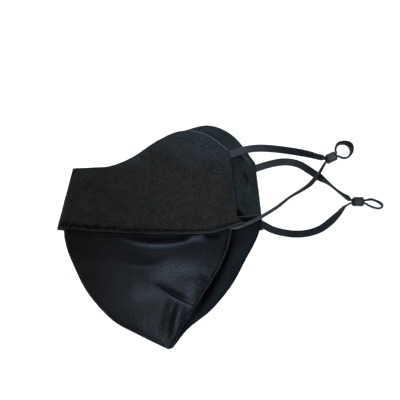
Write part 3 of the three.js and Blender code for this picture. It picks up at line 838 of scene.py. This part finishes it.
# ---- cloth ----
HALF_CLOTH = 0.0005  # half the thickness of the doubled cloth
EDGE_ZONE = 0.0011  # where the grid is finer, to round the cloth's edge
EDGE_CELLS = 7
THINNEST = 0.0004  # how far a face stays above the floor under it


def spaced(cells, length):
    """Places from 0 to 1 along a length of cloth, closer together at both of its ends."""
    zone = EDGE_ZONE / length
    start = zone * np.linspace(0, 1, EDGE_CELLS, endpoint=False) ** 1.6
    return np.concatenate([start, np.linspace(zone, 1 - zone, cells), 1 - start[::-1]])


def grid_normals(grid):
    return unit(np.cross(np.gradient(grid, axis=1), np.gradient(grid, axis=0)))


class Cloth:
    """A grid over a panel's middle, and how far each point of it is from the panel's four edges."""

    def __init__(self, surface, columns, rows, width, height):
        self.across, self.up = np.meshgrid(spaced(columns, width), spaced(rows, height))
        self.points = surface(self.across, self.up)
        self.x, self.y = self.points[..., 0], self.points[..., 1]
        self.normals = grid_normals(self.points)
        start, low = self.walked(1), self.walked(0)
        self.distance = {"start": start, "end": start[:, -1:] - start, "low": low, "high": low[-1:] - low}
        self.edge = np.minimum.reduce(list(self.distance.values()))

    def walked(self, axis):
        """How far along its row or column of the grid each point is."""
        first = np.take(self.points, [0], axis)
        steps = np.linalg.norm(np.diff(self.points, axis=axis, prepend=first), axis=2)
        return np.cumsum(steps, axis)

    def row(self, side, inset, grid=None):
        """The grid's points at an inset from one edge, in order along it."""
        grid = self.points if grid is None else grid
        distance = self.distance[side]
        if side in ("start", "end"):
            distance, grid = distance.T, grid.transpose(1, 0, 2)
        if side in ("high", "end"):
            distance, grid = distance[::-1], grid[::-1]
        return np.array([looked_up(inset, distance[:, k], grid[:, k]) for k in range(grid.shape[1])])

    def travel(self, side, inset):
        """How far along the row at that inset each of the grid's points is."""
        reached = travelled(self.row(side, inset))
        shape = (-1, 1) if side in ("start", "end") else (1, -1)
        return np.broadcast_to(reached.reshape(shape), self.edge.shape)

    def line_on(self, ends):
        """Points of the panel's upper face under a straight line from above, and their normals."""
        STEPS = 24
        places = mix(np.array(ends[0]), np.array(ends[1]), np.linspace(0, 1, STEPS)[:, None])
        found = [np.argmin(np.hypot(self.x - x, self.y - y)) for x, y in places]
        height = self.points[..., 2].ravel()[found] + HALF_CLOTH
        return np.column_stack([places, height]), self.normals.reshape(-1, 3)[found]

    def noise(self, size, seed):
        return noise(self.x, self.y, size, seed)

    def undulation(self, sizes, seed):
        """Soft unevenness, as a sum of (bump size, height)."""
        return sum(height * self.noise(size, seed + k) for k, (size, height) in enumerate(sizes))

    def folds(self, folds):
        return fold_height(folds, self.x, self.y)

    def painted_light_and_shade(self, painted_light_and_shade):
        """Painted highlight and shade from a table of folds: 1 for each millimetre of height."""
        return self.folds(painted_light_and_shade) / MM

    def band(self, side, inset, reach):
        """A soft band at an inset along one edge: 1 at its middle."""
        return peak(self.distance[side] - inset, reach)

    def near(self, line, reach):
        """1 on a line and 0 away from it, seen from above."""
        return peak(np.min([np.hypot(self.x - x, self.y - y) for x, y, _ in line], axis=0), reach)

    def edge_wear(self, seed):
        """How rubbed the very edges are, patchily."""
        REACH = 0.0009
        return (0.25 + 0.25 * self.noise(0.004, seed)) * peak(self.edge, REACH)

    def make(self, name, middle, top, bottom, materials, slot, wear_and_shading, on_floor):
        """The piece: its middle is moved, then thickened on both sides, and rounded at its edges."""
        gap = clamp(self.edge / HALF_CLOTH)
        rounding = np.sqrt(1 - (1 - gap) ** 2)
        centre = self.points + self.normals * middle[..., None]
        normals = grid_normals(centre)
        upper = centre + normals * (top * rounding)[..., None]
        lower = centre - normals * (bottom * rounding)[..., None]
        if on_floor:
            upper[..., 2] = np.maximum(upper[..., 2], THINNEST * gap)
            lower[..., 2] = np.maximum(lower[..., 2], 0)
        rows, columns = self.edge.shape
        front = np.arange(rows * columns).reshape(rows, columns)
        inner = np.zeros((rows, columns), bool)
        inner[1:-1, 1:-1] = True
        back = front.copy()
        back[inner] = rows * columns + np.arange(inner.sum())
        faces = np.concatenate([quads(front), quads(back)[:, ::-1]])
        points = np.concatenate([upper.reshape(-1, 3), lower[inner]])
        shaded_and_worn = np.concatenate([wear_and_shading.ravel(), wear_and_shading[inner]])
        picked = np.repeat([0, len(materials) - 1], len(faces) // 2)
        self.upper, self.upper_normals = upper, grid_normals(upper)
        return make_piece(name, points, faces, materials, wear_and_shading=shaded_and_worn, picked=picked)


def hem(cloth, side, width, inset, pitch, rise, groove, pucker, reach, seed):
    """A turned and stitched hem: how far it moves the cloth's middle, and what it adds to its thickness."""
    STEP = 0.0007
    LINE = 0.0005
    STRETCH = 5
    distance = cloth.distance[side]
    s = cloth.travel(side, inset)
    doubled = smooth((width - distance) / STEP + 0.5)
    pulled = 0.45 + 0.55 * np.cos(s * math.pi / pitch) ** 2
    patchy = 0.65 + 0.5 * noise_along(s, 0.014, seed)
    gathers = noise(s, distance / STRETCH, pitch * 1.15, seed + 1) * np.exp(-((distance / reach) ** 1.5))
    return pucker * patchy * gathers, rise * doubled - groove * pulled * cloth.band(side, inset, LINE)


def hems(cloth, rows):
    """What all of a panel's hems do together. Each row is what hem() takes, in millimetres."""
    parts = [hem(cloth, side, *(MM * size for size in sizes), seed) for side, *sizes, seed in rows]
    return sum(part[0] for part in parts), sum(part[1] for part in parts)


def stitch_darkening(cloth, side, inset, pitch, strength, seed):
    """Darkening along a stitch row, as negative values of the attribute, deepest at the needle holes."""
    LINE = 0.00075
    s = cloth.travel(side, inset)
    line = cloth.band(side, inset + 0.0003 * noise_along(s, 0.005, seed), LINE)
    holes = 0.4 + 0.6 * np.cos(s * math.pi / pitch) ** 2
    patchy = 0.75 + 0.5 * noise_along(s, 0.011, seed + 1)
    return -strength * line * holes * patchy


def threads(line, normals, reached, middles, length, radius, sink):
    """A short plump thread at each of the middles along a line, its ends sunk into the cloth."""
    SIDES = 6
    # Where each ring is along the thread, how thick it is, and how far above the line.
    start = ((-0.5, 0.25, -1.6), (-0.42, 0.8, -0.7), (-0.2, 1, 0))
    profile = (*start, (0, 1.05, 0.15), *((-place, girth, lift) for place, girth, lift in start[::-1]))
    place, girth, lift = np.tile(profile, (len(middles), 1)).T[..., None]
    s = np.repeat(middles, len(profile)) + place[:, 0] * length
    upward = unit(looked_up(s, reached, normals))
    ahead = looked_up(s + radius, reached, line) - looked_up(s - radius, reached, line)
    centre = looked_up(s, reached, line) + upward * (lift * radius - sink)
    across, up = (radius * girth * way for way in outline(SIDES))
    points = swept(centre, across, up, unit(np.cross(upward, ahead)), upward)
    starts = range(0, len(s) * SIDES, len(profile) * SIDES)
    faces = [face for start in starts for face in tube_faces(len(profile), SIDES, start)]
    return points.reshape(-1, 3), faces


def threads_along(line, normals, pitch, length, radius, sink):
    reached = travelled(line)
    middles = (np.arange(math.floor(reached[-1] / pitch)) + 0.5) * pitch
    return threads(line, normals, reached, middles, length, radius, sink)


def stitch_row(cloth, side, inset, pitch, length, radius, sink, skip_first, skip_last):
    """Threads of a stitch row on a cloth's upper face, as points and faces. They are put where the
    row's pitch puts them, and the skips leave out a length at either end."""
    line = cloth.row(side, inset, cloth.upper)
    normals = cloth.row(side, inset, cloth.upper_normals)
    reached = travelled(cloth.row(side, inset))
    first = math.ceil(skip_first / pitch)
    last = math.floor((reached[-1] - skip_last) / pitch)
    middles = (np.arange(first, last) + 0.5) * pitch
    return threads(line, normals, reached, middles, length, radius, sink)


def stitch_rows(cloth, rows):
    """Each row is what stitch_row() takes, in millimetres."""
    return [stitch_row(cloth, side, *(MM * size for size in sizes)) for side, *sizes in rows]


def make_threads(name, rows, material):
    """One piece of several stitch rows."""
    points, faces, start = [], [], 0
    for row_points, row_faces in rows:
        points.append(row_points)
        faces += [[corner + start for corner in face] for face in row_faces]
        start += len(row_points)
    return make_piece(name, np.concatenate(points), faces, [material])


def piping(name, line, radius, material, seed):
    """A thin rolled cord along an edge, fading into it at both ends."""
    SIDES = 10
    FADE = 0.004
    tangent = unit(np.gradient(line, axis=0))
    sideways = unit(np.cross(tangent, (0, 0, 1.0)))
    upward = np.cross(sideways, tangent)
    s = travelled(line)
    fade = smooth(s / FADE) * smooth((s[-1] - s) / FADE)
    girth = radius * (0.35 + 0.65 * fade) * (1 + 0.12 * noise_along(s, 0.003, seed))
    across, up = (girth[:, None] * way for way in outline(SIDES))
    points = swept(line, across, up, sideways, upward)
    # Painted highlight: the cord's colour is made lighter all along it.
    wear_and_shading = np.broadcast_to((0.45 + 0.3 * noise_along(s, 0.002, seed + 1))[:, None], points.shape[:2])
    return make_piece(name, points, tube_faces(len(line), SIDES), [material], wear_and_shading=wear_and_shading)


def seam(name, left, right, outward, material):
    """The fold where a left and a right cloth are sewn together: a rounded ridge over both starts."""
    SIDES = 16
    RIDGE = 0.00062
    STEP = 0.0008
    OVERLAP = 0.00035
    FADE = 0.0015
    SEED = 5
    left, right = left.upper[:, 0], right.upper[:, 0]
    reached, right_reached = travelled(left), travelled(right)
    length = reached[-1]
    s = np.linspace(0, length, round(length / STEP))
    left, right = looked_up(s, reached, left), looked_up(s, right_reached / right_reached[-1] * length, right)
    tall = (left - right) / 2
    tall = unit(tall) * (np.linalg.norm(tall, axis=1, keepdims=True) + OVERLAP)
    ends = smooth(s / FADE) * smooth((length - s) / FADE)
    swell = RIDGE * (0.6 + 0.4 * ends) * (1 + 0.1 * noise_along(s, 0.0025, SEED))
    across, up = outline(SIDES)
    points = swept((left + right) / 2, swell[:, None] * across, up, np.array([outward]), tall)
    points[..., 2] = np.maximum(points[..., 2], OFF_FLOOR)
    wear_and_shading = np.broadcast_to(np.maximum(0, across) * 0.25, points.shape[:2])
    return make_piece(name, points, tube_faces(len(s), SIDES), [material], wear_and_shading=wear_and_shading)


# ---- the four panels ----
# Hem rows, in millimetres: side, width, inset of its stitches, their pitch, rise, groove, pucker,
# the pucker's reach, and a seed. Stitch rows: side, inset, pitch, length, radius, sink, and how much
# to skip at the start and at the end.
HEM_PITCH = 0.003
EDGE_PITCH = 0.0026
JAW_PITCH = 0.0024

SLOTS = {"upper": "matte_cloth", "lower": "satin_cloth"}
FACES = {"upper": [MATT, LINING], "lower": [SATIN, SHADED_LINING]}
RIGHT_BACKING = 0.0001


def sewn_panel(part, side, cloth, middle, added, wear_and_shading, stitches, darts=(), grain=0):
    """A panel's piece, and a list of one with its dark stitches. The right panels lie inside up."""
    right = side == "right"
    faces = FACES[part][::-1] if right else FACES[part]
    top, bottom = HALF_CLOTH + added + grain, HALF_CLOTH + (RIGHT_BACKING if right else 0.3 * added)
    piece = cloth.make(f"{part}_cloth_{side}", middle, top, bottom, faces, SLOTS[part], wear_and_shading, right)
    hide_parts(f"{part}_panel_{side}")
    rows = [*stitch_rows(cloth, stitches), *darts]
    return piece, [make_threads(f"{part}_stitches_{side}", rows, DARK_THREAD)]


UPPER_LEFT_HEMS = [
    ("low", 4.6, 2.8, 3, 0.22, 0.50, 0.30, 6, 101),
    ("high", 2.2, 1.6, 2.6, 0.12, 0.15, 0.10, 4, 103),
    ("end", 2.6, 1.8, 2.6, 0.14, 0.18, 0.14, 4, 105),
    ("start", 0, 0, 3, 0, 0, 0.12, 6, 107),
]
UPPER_LEFT_STITCHES = [
    ("low", 2.8, 3, 2.3, 0.23, 0.16, 2, 2),
    ("high", 1.6, 2.6, 1.8, 0.14, 0.06, 3, 3),
    ("end", 1.8, 2.6, 1.8, 0.14, 0.06, 3, 3),
]
# Stitch rows drawn in the light thread, as painted highlights on stitches along the hem and the cheek edge.
PALE_STITCHES = [
    ("low", 1, 1.7, 1, 0.16, 0.02, 108, 2),
    ("low", 3.4, 1.9, 1.1, 0.16, 0.02, 112, 2),
    ("end", 1, 2.1, 0.9, 0.14, 0.02, 4, 24),
]
HEM_DARKENING = 1.2
NOSE_DART = ((-0.0495, 0.046), (-0.063, 0.028))  # a short stitched line that shapes the nose


def upper_left_panel():
    cloth = Cloth(upper_left, 224, 140, 0.135, 0.07)
    middle, added = hems(cloth, UPPER_LEFT_HEMS)
    uneven = cloth.undulation(((0.024, 0.00025), (0.009, 0.00010)), 111)
    middle = middle + uneven * smooth(cloth.edge / 0.006)
    grain = 0.00003 * cloth.noise(0.0011, 117) * smooth(cloth.edge / 0.001)
    lip = smooth((cloth.x - 0.008) / 0.02) * (0.6 + 0.5 * cloth.noise(0.0016, 127))
    # A darker band along the hem, just inside its stitch row, more towards the nose.
    noseward = 1 - 0.75 * smooth((cloth.x + 0.040) / 0.055)
    hem_dark = HEM_DARKENING * noseward * (0.6 + 0.7 * cloth.noise(0.0022, 125))
    dart, dart_normals = cloth.line_on(NOSE_DART)
    wear_and_shading = (
        cloth.edge_wear(119) * mix(0.5, 1, smooth((cloth.x + 0.04) / 0.06))
        + 0.55 * lip * cloth.band("low", 0, 0.0013)
        + stitch_darkening(cloth, "low", 0.0028, HEM_PITCH, 1.3, 121)
        + stitch_darkening(cloth, "end", 0.0018, EDGE_PITCH, 0.4, 123)
        - hem_dark * cloth.band("low", 0.0032, 0.0019)
        - 0.35 * cloth.near(dart, 0.0009)
    )
    darts = [threads_along(dart, dart_normals, EDGE_PITCH, 0.0016, 0.00014, 0.00006)]
    piece, stitches = sewn_panel(
        "upper", "left", cloth, middle, added, wear_and_shading, UPPER_LEFT_STITCHES, darts, grain
    )
    pale_rows = stitch_rows(cloth, PALE_STITCHES)
    pale_stitches = make_threads("pale_stitches_left", pale_rows, HIGHLIT_THREAD)
    return cloth, piece, [*stitches, pale_stitches]


LOWER_LEFT_HEMS = [
    ("end", 3, 2.1, 2.4, 0.18, 0.20, 0.42, 7, 203),
    ("start", 0, 0, 2.8, 0, 0, 0.16, 5, 205),
    ("high", 3, 2.2, 2.6, 0.10, 0.10, 0, 4, 207),
]
# Sharper creases over the chin panel's soft folds.
CHIN_CREASES = table(FOLD_COLUMNS, [
    (-34.5, -3.5, -4, -17.5, 25.5, 1, 0.5, 1.2, 2.2),
    (-30, 0, 2, -8, 28, 1.5, -2, 4, 3),
    (-23, -10.5, -8, -16.5, 6, -14.5, 0.4, 1.8, 1.8),
    (-3.5, -36, 8, -48, 26, -54, -0.9, 1.2, 0.7),
    (-3, -38.5, 7, -50, 25, -56, 0.4, 0.8, 1.6),
    (15.5, -55, 10.5, -65, 8.5, -74, 0.2, 1.2, 1.4),
    (16.5, -60, 18.5, -63, 19.5, -66, -0.3, 1.6, 1.6),
    (29, -24, 34, -25, 39.5, -26.2, 0.3, 1.2, 1.4),
    (26.5, -30, 32, -31.5, 37, -31.8, -0.4, 1.5, 1.3),
    (27, -35, 30, -36.5, 34.5, -37, 0.3, 1.4, 1.6),
    (23, -41, 26.5, -43, 30.5, -43.5, -0.4, 1, 1.2),
    (35, -15, 38, -17.5, 42.5, -18, 0.3, 1.2, 1),
    (38, -10.5, 41, -12, 44, -11.8, -0.4, 1, 1.4),
    (20, -3.5, 27, -2, 33, -3.5, 0.6, 3, 3),
    (34, 1, 38, -1.5, 43, -1, -0.5, 2, 2),
], MM)
# Painted sheen and shade on the chin panel, laid like folds: a painted highlight where height is positive,
# and painted shade where it is negative.
CHIN_SHEEN_AND_SHADE = table(FOLD_COLUMNS, [
    (-14, -34, 8, -26, 37, -29, 1.08, 6.8, 6.8),
    (-28, -51, -6, -43, 10, -45, 0.64, 6, 5.6),
    (-36, -1.5, 5, -21, 39, 5, 1.5, 1, 1.6),
    (-20, -65, -8, -75, 6, -83, 0.34, 5, 5),
    (-8, -34, 1, -42, 12, -49, -1.4, 0.9, 1.1),
    (-5, -36, 8, -50, 30, -56, -1.2, 0.7, 0.7),
    (0, -43.2, 12, -53.7, 30, -58.3, 1.8, 0.6, 0.6),
    (16, -4.5, 26, -1.5, 36, -4, 1.15, 2.2, 2.6),
    (31, 0, 38.5, -4, 46, 0, -1.5, 1.8, 1.8),
    (23.5, -34, 22.5, -48, 16.5, -64, 0.9, 3.8, 3.8),
    (15, -52, 14.5, -64, 8.5, -80, 0.55, 2.4, 2.2),
    (-36, -12, -12, -23, 8, -19, -0.5, 4.5, 3.6),
    (6, -58, 7.5, -68, 5.5, -78, -0.85, 2.2, 2.2),
    (-28, 0.5, 6, -11.5, 33, 2, -1.5, 3, 2.6),
], MM)


def lower_left_panel():
    cloth = Cloth(lower_left, 196, 160, 0.11, 0.1)
    middle, added = hems(cloth, LOWER_LEFT_HEMS)
    untucked = 1 - smooth((cloth.y + 0.004) / 0.004)
    uneven = cloth.undulation(((0.016, 0.00030), (0.007, 0.00012)), 211)
    middle = (middle + uneven * smooth(cloth.edge / 0.004)) * untucked
    middle = middle + cloth.folds(CHIN_CREASES) * smooth(cloth.edge / 0.0015)
    holes = np.cos(cloth.travel("end", 0) * math.pi / JAW_PITCH) ** 2
    # Rubbed edges, a darker stitch row, lighter dots along the jaw edge, and the chin panel's painted sheen
    # and shade.
    wear_and_shading = (
        cloth.edge_wear(219)
        + stitch_darkening(cloth, "end", 0.0022, JAW_PITCH, 2.0, 221)
        + 1.8 * holes * cloth.band("end", 0, 0.0007)
        + 0.8 * cloth.painted_light_and_shade(CHIN_SHEEN_AND_SHADE)
    )
    stitches = [("end", 2.1, 2.4, 1.7, 0.15, 0.07, 2, 12)]
    return cloth, *sewn_panel("lower", "left", cloth, middle, added, wear_and_shading, stitches)


UPPER_RIGHT_HEMS = [
    ("high", 2.6, 1.8, 2.6, 0.14, 0.16, 0.12, 4, 303),
    ("end", 3, 2, 2.6, 0.16, 0.18, 0.16, 4, 305),
    ("low", 4.6, 3.1, 3, 0.12, 0.10, 0, 4, 307),
]
UPPER_RIGHT_STITCHES = [
    ("high", 1.8, 2.6, 1.8, 0.14, 0.06, 3, 3),
    ("end", 2, 2.6, 1.8, 0.14, 0.06, 16, 3),
]
# Creases in the part of the right half's inside that the left half leaves open to view.
CHEEK_BULGE = 0.0016
CHEEK_CREASES = table(FOLD_COLUMNS, [
    (59, 51, 66.5, 46, 64.5, 38, -1.4, 1.6, 1.4),
    (60.5, 52, 69, 46, 66, 36, 0.8, 1.2, 1.2),
    (59, 65.5, 63, 62, 66.5, 56, 1.2, 0.9, 1),
    (63.5, 65.5, 66.5, 62, 69, 56, 0.9, 0.8, 0.9),
    (58, 62.5, 60, 61, 61.5, 59, -1, 1.4, 1.4),
    (60, 37, 65, 34.5, 70, 33, 1, 2.2, 2),
    (60, 29, 66, 25, 70, 18, -0.8, 2.4, 2),
    (66, 30, 71, 26, 73.5, 19, 0.9, 1.2, 1.4),
    (30, 85, 40, 81.5, 48, 74, 0.9, 1.2, 1.4),
    (34, 86, 46, 82, 56, 73, -0.8, 1.6, 1.4),
], MM)
# Painted light and shade in the same place: painted highlights along crease ridges where height is positive,
# and painted shade in the creases and under the left half's corner where it is negative.
CHEEK_HIGHLIGHTS_AND_SHADE = table(FOLD_COLUMNS, [
    (58, 66.5, 63, 62.5, 67.5, 54.5, 1.1, 0.8, 0.8),
    (63, 67, 66.5, 62.5, 70, 55, 0.8, 0.7, 0.7),
    (65.5, 46, 66.2, 40, 65.5, 34, 0.6, 0.6, 0.7),
    (60, 37, 65, 35, 70.5, 33.3, 0.24, 2.2, 2.2),
    (33, 84.5, 40, 82.5, 46, 78, 0.22, 1.2, 1.2),
    (58.5, 52, 66.5, 46, 64.5, 37, -1.4, 1, 1),
    (57.5, 63, 59.5, 61.5, 61.5, 59, -1.4, 1.2, 1.2),
    (59, 30, 64, 24, 68, 15, -0.55, 3.6, 2.6),
    (55, 23, 59, 14, 68, 8, -4, 2.6, 2.6),
], MM)


def upper_right_panel():
    cloth = Cloth(upper_right, 224, 140, 0.145, 0.075)
    middle, added = hems(cloth, UPPER_RIGHT_HEMS)
    uncovered = smooth((cloth.y - 0.012) / 0.008)
    rolling = np.maximum(0, cloth.undulation(((0.013, 0.0005), (0.006, 0.00022)), 311))
    rolling = rolling * smooth(cloth.edge / 0.004) * smooth((cloth.x - 0.045) / 0.01)
    bulge = CHEEK_BULGE * smooth((cloth.x - 0.050) / 0.010) + cloth.folds(CHEEK_CREASES)
    middle = middle + (rolling + bulge * smooth(cloth.edge / 0.006)) * uncovered
    # Painted light: the cloth is made lighter towards its top edge.
    top_light = 0.09 * smooth((cloth.y - 0.060) / 0.012)
    wear_and_shading = 0.5 * cloth.edge_wear(319) + 0.5 * cloth.painted_light_and_shade(CHEEK_HIGHLIGHTS_AND_SHADE) + top_light
    return cloth, *sewn_panel("upper", "right", cloth, middle, added, wear_and_shading, UPPER_RIGHT_STITCHES)


LOWER_RIGHT_HEMS = [
    ("end", 3.2, 2.3, 2.4, 0.18, 0.18, 0.14, 5, 403),
    ("high", 3, 2.2, 2.6, 0.12, 0.10, 0, 4, 407),
]
# How high the right chin panel's strip bulges beside the left one's jaw edge, and how much painted shade
# darkens the cloth there, from the chin tip to the tucked edge.
JAW_STRIP_START = 0.83  # where it starts, across the panel
JAW_STRIP = table("height shade", [
    (0, 0.1), (0.0004, 0.3), (0.0010, 0.6), (0.0015, 1.4), (0.0015, 1.9), (0.0008, 0.9), (0, 0.3),
])


def lower_right_panel():
    cloth = Cloth(lower_right, 196, 150, 0.125, 0.1)
    middle, added = hems(cloth, LOWER_RIGHT_HEMS)
    untucked = 1 - smooth((cloth.y + 0.004) / 0.004)
    rolling = np.maximum(0, cloth.undulation(((0.017, 0.0005), (0.007, 0.0002)), 411))
    rolling = rolling * smooth(cloth.edge / 0.004) * smooth((cloth.distance["start"] - 0.05) / 0.02)
    jaw = curves(JAW_STRIP, cloth.up)
    strip = smooth((cloth.across - JAW_STRIP_START) / 0.10) * smooth((1 - cloth.across) / 0.05)
    middle = middle + rolling * untucked + jaw["height"] * strip
    # Rubbed edges, a thin lighter line along the tucked top edge, painted shade beside the left half's jaw
    # edge and 3 mm below the tucked top edge, a darker stitch row and a darker outer edge.
    wear_and_shading = (
        0.5 * cloth.edge_wear(419)
        + 0.9 * cloth.band("high", 0, 0.0007)
        - jaw["shade"] * peak(cloth.across - JAW_STRIP_START - 0.02, 0.040)
        - cloth.band("high", 0.0032, 0.0020)
        + stitch_darkening(cloth, "end", 0.0023, JAW_PITCH, 0.5, 421)
        - cloth.band("end", 0, 0.0012)
    )
    stitches = [("end", 2.3, 2.4, 1.7, 0.15, 0.07, 2, 2)]
    return cloth, *sewn_panel("lower", "right", cloth, middle, added, wear_and_shading, stitches)


upper_left_cloth, upper_left_piece, upper_left_trim = upper_left_panel()
lower_left_cloth, lower_left_piece, lower_left_trim = lower_left_panel()
upper_right_cloth, upper_right_piece, upper_right_trim = upper_right_panel()
lower_right_cloth, lower_right_piece, lower_right_trim = lower_right_panel()


def cheek_piping():
    """A rolled cord along the top edge, from over the cheek to the ear strap's end."""
    START_X = 0.019
    INSET = 0.0002
    top = upper_left_cloth.row("high", INSET, upper_left_cloth.upper)
    line = top[top[:, 0] > START_X][:-2]
    return piping("cheek_piping_left", line, 0.00042, HIGHLIT_PIPING_THREAD, 501)


nose_seam = seam("nose_seam", upper_left_cloth, upper_right_cloth, (-1, 0.2, 0), MATT)
chin_seam = seam("chin_seam", lower_left_cloth, lower_right_cloth, (-0.8, -0.6, 0), SATIN)
upper_left_trim += [nose_seam, cheek_piping()]
lower_left_trim += [chin_seam]

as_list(upper_left_trim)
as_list(upper_right_trim)
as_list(lower_left_trim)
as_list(lower_right_trim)

# ---- surroundings ----


def make_floor():
    """A pale sweep that glows a little, so that it stays even and nearly white."""
    HALF = 30.0
    BELOW = 0.0001
    mesh = bpy.data.meshes.new("floor")
    corners = [(x * HALF, y * HALF, 0) for x, y in ((-1, -1), (1, -1), (1, 1), (-1, 1))]
    mesh.from_pydata(corners, [], [(0, 1, 2, 3)])
    finish = Finish("floor", {
        "Base Color": (0.6, 0.6, 0.6, 1),
        "Roughness": 0.9,
        "Specular IOR Level": 0.0,
        "Emission Color": (1, 1, 1, 1),
        "Emission Strength": 0.85,
    })
    mesh.materials.append(finish.material)
    floor = bpy.data.objects.new("floor", mesh)
    floor.location.z = -BELOW
    bpy.context.scene.collection.objects.link(floor)


def make_light(name, azimuth, elevation, distance, size, power, colour):
    """A soft round lamp that faces the object. Azimuth 0 is +X and 90 is +Y."""
    data = bpy.data.lights.new(name, "AREA")
    data.shape = "DISK"
    data.size = size
    data.energy = power
    data.color = colour
    lamp = bpy.data.objects.new(name, data)
    a, e = math.radians(azimuth), math.radians(elevation)
    way = Vector((math.cos(a) * math.cos(e), math.sin(a) * math.cos(e), math.sin(e)))
    lamp.location = (cad_low + cad_high) / 2 + way * distance
    lamp.rotation_euler = way.to_track_quat("Z", "Y").to_euler()
    bpy.context.scene.collection.objects.link(lamp)


def make_world(strength):
    world = bpy.data.worlds.new("world")
    world.use_nodes = True
    background = world.node_tree.nodes["Background"]
    background.inputs["Color"].default_value = (1, 1, 1, 1)
    background.inputs["Strength"].default_value = strength
    bpy.context.scene.world = world


make_floor()
make_light("softbox", 270, 84, 1.3, 0.75, 16, (0.68, 0.84, 1.0))
make_light("key", 105, 42, 1.3, 0.3, 4.2, (0.88, 0.95, 1.0))
make_light("fill", 215, 40, 1.4, 0.8, 2.5, (1.0, 0.88, 0.78))
make_world(0.05)
bpy.context.scene.view_settings.view_transform = "Standard"
